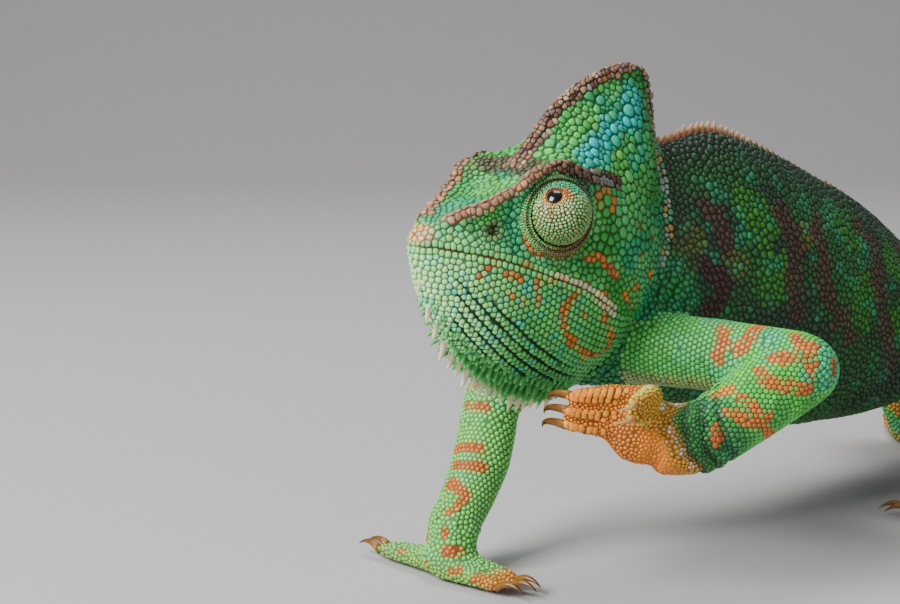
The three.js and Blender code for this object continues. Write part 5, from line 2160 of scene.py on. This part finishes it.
@dataclass
class Claws:
    """The claws: smooth hooks in the places of the frame's claws.

    Attributes:
        body: the frame's flesh and claws.
        root: how far a claw reaches back into its digit.
        radius: thickness at the root.
        thin_radius: the same for the two pale claws of the raised hand's outer digits.
        thick_claws: how many claws the raised hand has before those two.
        shorter: length of the raised hand's claws, as a share of the frame's.
        drop: how far their tips hang lower.
    """

    body: Body
    root: float = 1.6
    radius: float = 1.2
    thin_radius: float = 0.8
    thick_claws: int = 3
    shorter: float = 0.66
    drop: float = 0.8

    def build(self) -> None:
        """Makes each foot's claws as one object."""
        for foot in FEET.values():
            names = [name for name in self.body.shapes if name.startswith(foot + "_claw_")]
            claws = [Claw.of(self.body.shapes[name]) for name in names]
            roots = np.array([claw.root for claw in claws])
            middles = np.array([claw.middle for claw in claws])
            tips = np.array([claw.tip for claw in claws])
            along = unit(tips - roots)
            bows = middles - (roots + tips) / 2
            bows -= np.einsum("ik,ik->i", bows, along)[:, None] * along
            low, high = (np.tile(colour, (len(names), 1)) for colour in (HORN_ROOT, HORN_TIP))
            radii = np.full(len(names), self.radius)
            bend = 1.3
            if foot == "left_hand":
                pale = slice(self.thick_claws, None)
                low[pale], high[pale], radii[pale] = PALE_HORN_ROOT, PALE_HORN_TIP, self.thin_radius
                tips = roots + (tips - roots) * self.shorter - [0, 0, self.drop]
                bows[:, 2] += 0.3
                bend = 2.2
            made = Horns(f"{foot}_claws", "claw", "claw", sides=14, stations=10, flat=0.8).build(
                self.body.origin, roots - along * self.root, tips, radii, bows * bend, low, high
            )
            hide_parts(*names)


# ------------------------------------------------------------------ eyes


@dataclass
class Turret:
    """A turreted eye: beaded skin over a ball, with a small opening on the eyeball.

    Attributes:
        body: the frame's flesh and eyes.
        side: 1 for the animal's left eye, -1 for its right.
        gaze: where it looks.
        radius: of the skin under the beads.
        opening: angle from the gaze to the lid's edge.
    """

    body: Body
    side: int
    gaze: Place
    radius: float = 6.2
    opening: float = math.radians(16.5)
    PUPIL = math.radians(14.6)
    OFFSET = (0.65, -0.9, -0.15)  # of the visible ball from the middle of the frame's eye
    SOCKET = (0.93, -0.3, 0.1)  # the way that the socket faces, on the left side
    CORNEA = 2.9  # radius of the eyeball's bulging front
    BULGE = 0.32  # how far that stands out past the skin
    LID = 0.2  # how far the lid's edge stands out
    FIRST_BEADS = 0.04  # angle from the lid's edge to the first ring of beads
    LAST_BEADS = 2.2
    SAG = (-0.15, -0.3, -0.45)  # of the folds' middle from the ball's
    # The two folds round the ball: distance from the socket's axis, and distance along it.
    LIDS = (
        (5.7, -1.4), (6.1, -0.5), (6.3, 0.3), (6.55, 0.75), (6.8, 0.5), (6.9, -0.05),
        (7.0, -0.1), (7.15, 0.25), (7.5, 0.4), (7.8, 0.0), (8.1, -0.9), (8.6, -2.2),
    )
    GROOVE = 6.93  # the groove between them, from the socket's axis
    RING_PITCH = 0.46
    FOLD_BEAD = 0.54

    def __post_init__(self) -> None:
        """Sets up the directions about the gaze and about the socket."""
        self.name = "left" if self.side > 0 else "right"
        self.centre = (EYE_CENTRE + self.OFFSET) * np.array([self.side, 1, 1])
        self.forward = unit(np.array(self.gaze))
        self.aside = unit(np.cross(self.forward, [0.0, 0.0, 1.0]))
        self.up = np.cross(self.aside, self.forward)
        self.socket = unit(np.array(self.SOCKET) * np.array([self.side, 1, 1]))

    def build(self, random: Random) -> None:
        """Makes the turret, its beads, the folds round it and the eyeball."""
        turret = self._turret()
        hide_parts(f"eye_{self.name}")
        self._beads(random)
        self._folds(random)
        self._eyeball()

    def ways(self, polar: Array, turn: Array) -> Array:
        """Directions from angles about the gaze."""
        ring = np.cos(turn)[..., None] * self.up + np.sin(turn)[..., None] * self.aside
        return np.cos(polar)[..., None] * self.forward + np.sin(polar)[..., None] * ring

    def skin_at(self, polar: Array, turn: Array) -> Array:
        """The turret's skin: a ball with a raised lid round its opening."""
        lid = self.LID * hump(polar - self.opening, 0.05, 0.07)
        return self.centre + self.ways(polar, turn) * (self.radius + lid)[..., None]

    def _lathed(self, name: str, rings: Array, colours: Array, finish: str) -> bpy.types.Object:
        """A closed body from rings of points about the gaze, front to back.

        Args:
            name: the object's name, without its side.
            rings: the points of each ring.
            colours: the colour of each ring.
            finish: the name of the material.

        Returns:
            The object.
        """
        count, sides = rings.shape[:2]
        points = np.vstack([rings.reshape(-1, 3), rings[:1].mean(axis=1), rings[-1:].mean(axis=1)])
        faces = []
        for ring in range(count - 1):
            for k in range(sides):
                a, b = ring * sides + k, ring * sides + (k + 1) % sides
                faces += [(a, b + sides, b), (a, a + sides, b + sides)]
        last, pole = (count - 1) * sides, count * sides
        faces += [(pole, k, (k + 1) % sides) for k in range(sides)]
        faces += [(pole + 1, last + (k + 1) % sides, last + k) for k in range(sides)]
        tints = np.vstack([np.repeat(colours, sides, axis=0), colours[:1], colours[-1:]])
        surface = Surface(points, np.array(faces))
        return add_mesh(f"{name}_{self.name}", surface, self.body.origin, tints, finish)

    @staticmethod
    def _grid(polar: Array, sides: int = 96) -> tuple[Array, Array]:
        """Angles of rings of points."""
        turn = np.arange(sides) * 2 * math.pi / sides
        return np.repeat(polar[:, None], sides, 1), np.tile(turn, (len(polar), 1))

    def _turret(self) -> bpy.types.Object:
        """The skin under the beads, painted dark as the shade between them, with a dark well inside the
        opening.
        """
        well = np.array([0.02, self.opening * 0.8])
        polar = np.concatenate([well, np.linspace(self.opening * 0.96, 2.9, 60)])
        rings = self.skin_at(*self._grid(polar))
        rings[:2] = self.centre + (rings[:2] - self.centre) * 0.8
        # painted shade: the skin under the beads is nearly black
        return self._lathed("turret", rings, np.tile(OLIVE * 0.2, (len(polar), 1)), "skin")

    def _eyeball(self) -> None:
        """The wet ball behind the opening, with a black pupil, a golden iris and a bulging front."""
        polar = np.concatenate([np.linspace(0.01, 0.5, 80), np.linspace(0.55, 3.0, 14)])
        iris = mixed(IRIS_GOLD, IRIS_BROWN, step(0.0, 0.03, polar - self.PUPIL))
        colours = mixed(iris, PUPIL_BLACK, step(0.012, -0.012, polar - self.PUPIL))
        angle, turn = self._grid(polar)
        ahead = self.radius + self.BULGE - self.CORNEA
        bulge = ahead * np.cos(angle) + np.sqrt(np.maximum(self.CORNEA**2 - (ahead * np.sin(angle)) ** 2, 0))
        reach = np.where(angle < 0.6, np.maximum(bulge, self.radius - 0.1), self.radius - 0.1)
        rings = self.centre + self.ways(angle, turn) * reach[..., None]
        self._lathed("eyeball", rings, colours, "eyeball")

    def _colours(self, polar: Array, turn: Array, random: Random) -> Array:
        """The beads' colours: teal above, cream and gold below, orange beside the pupil, brown specks and a
        lid rim that darkens upwards.
        """
        height, back = np.cos(turn), np.sin(turn) * -self.side
        shade = mixed(BEAD_CREAM, BEAD_GREEN, random.random(len(polar)) * 0.9)
        shade = mixed(shade, tone(220, 224, 184), 0.8 * step(0.2, -0.5, height) * step(1.05, 0.35, polar))
        shade = mixed(shade, tone(50, 160, 122), step(0.15, 0.75, height) * step(0.22, 0.45, polar))
        shade = mixed(shade, OLIVE, 0.35 * step(0.85, 1.35, polar) * step(0.5, -0.3, height))
        streak = step(0.24, 0.1, np.abs(back + 0.12)) * step(0.2, -0.2, height) * step(1.1, 0.5, polar)
        shade = mixed(shade, tone(190, 112, 48), 0.6 * streak)
        glow = step(0.4, 0.75, back) * step(0.7, 0.4, polar) * step(-0.3, 0.1, height)
        shade = mixed(shade, tone(216, 116, 30), glow)
        shade = mixed(shade, tone(170, 92, 40), 0.7 * step(0.5, 0.8, -back) * step(0.5, 0.35, polar))
        speck = 0.5 * step(0.84, 0.95, random.random(len(polar))) * step(0.3, 0.5, polar)
        shade = mixed(shade, tone(150, 96, 52), speck)
        rim = mixed(tone(222, 178, 122), tone(120, 60, 32), step(0.2, 0.8, height))
        return mixed(shade, rim, step(self.opening + 0.11, self.opening + 0.03, polar))

    def _beads(self, random: Random) -> None:
        """Rings of small domes over the ball, larger away from the opening."""
        polars, turns, sizes = [], [], []
        polar = self.opening + self.FIRST_BEADS
        while polar < self.LAST_BEADS:
            larger = 0.36 * min(1.0, (polar - self.opening) / 0.3)
            size = 0.44 + larger - 0.15 * min(1.0, max(0.0, polar - 1.0))
            count = max(8, int(round(2 * math.pi * self.radius * math.sin(polar) / size)))
            polars.append(np.full(count, polar) + random.normal(0, 0.011, count))
            place = np.arange(count) + 0.5 * (len(polars) % 2) + random.normal(0, 0.14, count)
            turns.append(place * 2 * math.pi / count)
            sizes.append(size * 1.02 * random.normal(1, 0.13, count))
            polar += size * 0.9 / self.radius
        polar, turn, size = (np.concatenate(each) for each in (polars, turns, sizes))
        seen = self.ways(polar, turn) @ self.socket > 0.02
        polar, turn, size = polar[seen], turn[seen], size[seen]
        places = self.skin_at(polar, turn)
        flat = np.column_stack([turn / (2 * math.pi), polar / math.pi]) * 0.98 + 0.01
        hues = self._colours(polar, turn, random) * random.normal(1, 0.12, (len(polar), 1))
        self._beaded(f"turret_beads_{self.name}", places, unit(places - self.centre), size, hues, flat)

    def _beaded(
        self, name: str, places: Array, outward: Array, size: Array, hues: Array, flat: Array
    ) -> None:
        """Makes beads.

        Args:
            name: the object's name.
            places, outward: where they stand and the way up from there.
            size: the width of each.
            hues: their colours.
            flat: their places on the bake map.
        """
        count = len(places)
        seeds = Seeds(places, outward, size, np.zeros(count, int), np.full(count, Mark.BEAD.value))
        coat = Coat(self.body, seeds, gap=0.1, root=0.12)
        coat.rims = coat.hues = np.clip(hues, 0.004, 0.95)
        coat.piece(name, 8, 0.3, np.arange(count), coat.outlines(8), flat, "turret", "eye_turret")

    def _folds(self, random: Random) -> None:
        """The two folds of skin round the ball, with fine beads in rings; the skin under them and the beads
        in the groove between the folds are darkened as painted shade.
        """
        corners = [(out, along, 0.0) for out, along in self.LIDS]
        line = fair_path(corners, 0.2)
        out, turn = self._grid(line[:, 0])
        middle = self.centre + np.array(self.SAG) * np.array([self.side, 1, 1])
        rings = middle + self._about_socket(out, np.repeat(line[:, 1:2], out.shape[1], 1), turn)
        # painted shade: the folds' skin under the beads is nearly black
        self._lathed("eye_folds", rings, np.tile(OLIVE * 0.12, (len(line), 1)), "skin")
        line = fair_path(corners[1:-1], self.RING_PITCH)
        way = unit(np.gradient(line, axis=0))
        count = np.round(2 * math.pi * line[:, 0] / self.FOLD_BEAD).astype(int)
        row = np.repeat(np.arange(len(line)), count)
        turn = np.concatenate([(np.arange(n) + 0.5 * (i % 2)) / n for i, n in enumerate(count)]) * 2 * math.pi
        turn = turn + random.normal(0, 0.012, len(turn))
        out = line[row, 0]
        places = middle + self._about_socket(out, line[row, 1], turn)
        outward = unit(self._about_socket(-way[row, 1], way[row, 0], turn))
        shade = self._fold_colours(places - middle, random)
        # painted shade: the beads darken in the groove between the two folds
        groove_painted_shade = hump(out, self.GROOVE, 0.16)
        shade = shade * (random.normal(1, 0.15, len(row)) * (1 - 0.85 * groove_painted_shade))[:, None]
        flat = np.column_stack([turn / 7.0, row / len(line)]) * 0.98 + 0.01
        size = self.FOLD_BEAD * random.normal(1, 0.12, len(row))
        self._beaded(f"eye_fold_beads_{self.name}", places, outward, size, shade, np.clip(flat, 0.01, 0.99))

    def _about_socket(self, out: Array, along: Array, turn: Array) -> Array:
        """Places, or directions, given about the socket's axis: away from it, along it and round it."""
        aside = unit(np.cross(self.socket, [0.0, 0.0, 1.0]))
        up = np.cross(aside, self.socket)
        ring = np.cos(turn)[..., None] * up + np.sin(turn)[..., None] * aside
        return ring * out[..., None] + self.socket * along[..., None]

    @staticmethod
    def _fold_colours(off: Array, random: Random) -> Array:
        """The folds' colours at places given from their middle: brown in front, dark brown behind, and darker
        above as painted shade under the brow.
        """
        back, height = off[:, 1], off[:, 2]
        shade = mixed(*FOLD_GREENS, random.random(len(off)))
        brown = mixed(*FOLD_BROWNS, random.random(len(off)))
        shade = mixed(shade, brown, 0.85 * step(-2.5, -6.5, height - 0.45 * back))
        shade = mixed(shade, DARK_BROWN, 0.75 * step(1.5, 5.5, back))
        # painted shade: darker towards the top, under the brow
        return shade * (1 - 0.65 * step(1.5, 5.5, height))[:, None]


# ------------------------------------------------------------------ the studio


@dataclass
class Studio:
    """Floor, lights and camera.

    Attributes:
        origin: the snout tip in the world, in millimetres.
        azimuth: where the camera stands round the animal, in degrees.
        elevation: how far it looks down, in degrees.
        from_snout: the camera's place.
        lens: focal length over a 36 mm wide picture.
    """

    origin: Array
    azimuth: float = 48.0
    elevation: float = 10.0
    from_snout: Place = (262.8, -225.6, 49.0)
    lens: float = 72.0
    WALL = 0.7  # metres behind the animal, where the floor begins to rise
    BEND = 0.8
    BEND_STEPS = 24
    SINK = 0.0004  # of the floor under the feet
    LIT = (0.0, -0.1, 0.06)  # where the lights point

    def build(self) -> None:
        """Makes all of it."""
        self._floor()
        self._lights()
        self._camera()

    def _floor(self) -> None:
        """A large pale floor that rises behind the animal in a smooth bend."""
        turn = math.radians(self.azimuth)
        back = np.array([-math.sin(turn), math.cos(turn), 0.0])
        side = np.array([math.cos(turn), math.sin(turn), 0.0])
        bend = np.linspace(0, math.pi / 2, self.BEND_STEPS)
        run = np.concatenate([[-8.0], self.WALL + self.BEND * np.sin(bend), [self.WALL + self.BEND]])
        rise = np.concatenate([[0.0], self.BEND * (1 - np.cos(bend)), [4.0]]) - self.SINK
        points = [back * r + side * w + [0, 0, h] for r, h in zip(run, rise) for w in (-9.0, 9.0)]
        faces = [(2 * i, 2 * i + 1, 2 * i + 3, 2 * i + 2) for i in range(len(run) - 1)]
        mesh = bpy.data.meshes.new("floor")
        mesh.from_pydata(points, [], faces)
        mesh.shade_smooth()
        floor = bpy.data.objects.new("floor", mesh)
        bpy.context.scene.collection.objects.link(floor)
        pale = bpy.data.materials.new("pale floor")
        pale.use_nodes = True
        shader = pale.node_tree.nodes["Principled BSDF"]
        shader.inputs["Base Color"].default_value = (0.46, 0.45, 0.46, 1)
        shader.inputs["Roughness"].default_value = 0.9
        mesh.materials.append(pale)

    def _lights(self) -> None:
        """A large soft key from the camera's left, a weak fill and a light from above."""
        world = bpy.data.worlds.new("studio")
        bpy.context.scene.world = world
        world.use_nodes = True
        target = Vector(self.LIT)
        shade = world.node_tree.nodes["Background"]
        shade.inputs["Color"].default_value = (0.50, 0.49, 0.50, 1)
        shade.inputs["Strength"].default_value = 0.5
        for name, at, size, power, colour in (
            ("key", (-0.10, -0.95, 0.70), 0.5, 21.0, (1.0, 0.99, 0.97)),
            ("fill", (0.9, 0.0, 0.3), 0.6, 1.6, (0.95, 1.0, 0.98)),
            ("top", (-0.25, 0.15, 0.95), 0.5, 5.0, (1.0, 1.0, 1.0)),
        ):
            data = bpy.data.lights.new(name, "AREA")
            data.size, data.energy, data.color = size, power, colour
            lamp = bpy.data.objects.new(name, data)
            lamp.location = at
            lamp.rotation_euler = (target - Vector(at)).to_track_quat("-Z", "Y").to_euler()
            bpy.context.scene.collection.objects.link(lamp)

    def _camera(self) -> None:
        """The camera, level, near the head."""
        data = bpy.data.cameras.new("camera")
        data.lens, data.sensor_width = self.lens, 36.0
        data.clip_start, data.clip_end = 0.01, 50.0
        camera = bpy.data.objects.new("camera", data)
        camera.location = (self.origin + self.from_snout) * MM
        camera.rotation_euler = (math.radians(90 - self.elevation), 0, math.radians(self.azimuth))
        bpy.context.scene.collection.objects.link(camera)
        bpy.context.scene.camera = camera


def main() -> None:
    """Builds everything in order."""
    logging.basicConfig(level=logging.INFO, format="%(name)s %(message)s")
    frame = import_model()
    body = Body(frame["nodes"])
    skin = Skin(body)
    skin.build()
    markings = Markings(body)
    random = np.random.default_rng(SEED)
    hide = markings.hide(skin.surface.points, skin.outward, skin.nodes)
    made = add_mesh("skin", skin.surface, body.origin, hide, "skin")
    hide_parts(*body.flesh)
    rows = Rows(skin)
    hand = Hand(body, rows)
    seeds = Scatter(body, skin).build([*rows.head(), hand.middles])
    Coat(body, seeds).build(markings, random)
    hand.build(markings, random)
    Crests(body, skin).build()
    Claws(body).build()
    Turret(body, 1, (0.40, -0.67, 0.64)).build(random)
    Turret(body, -1, (-0.75, -0.62, 0.22)).build(random)
    Studio(body.origin).build()


if __name__ == "__main__":
    main()
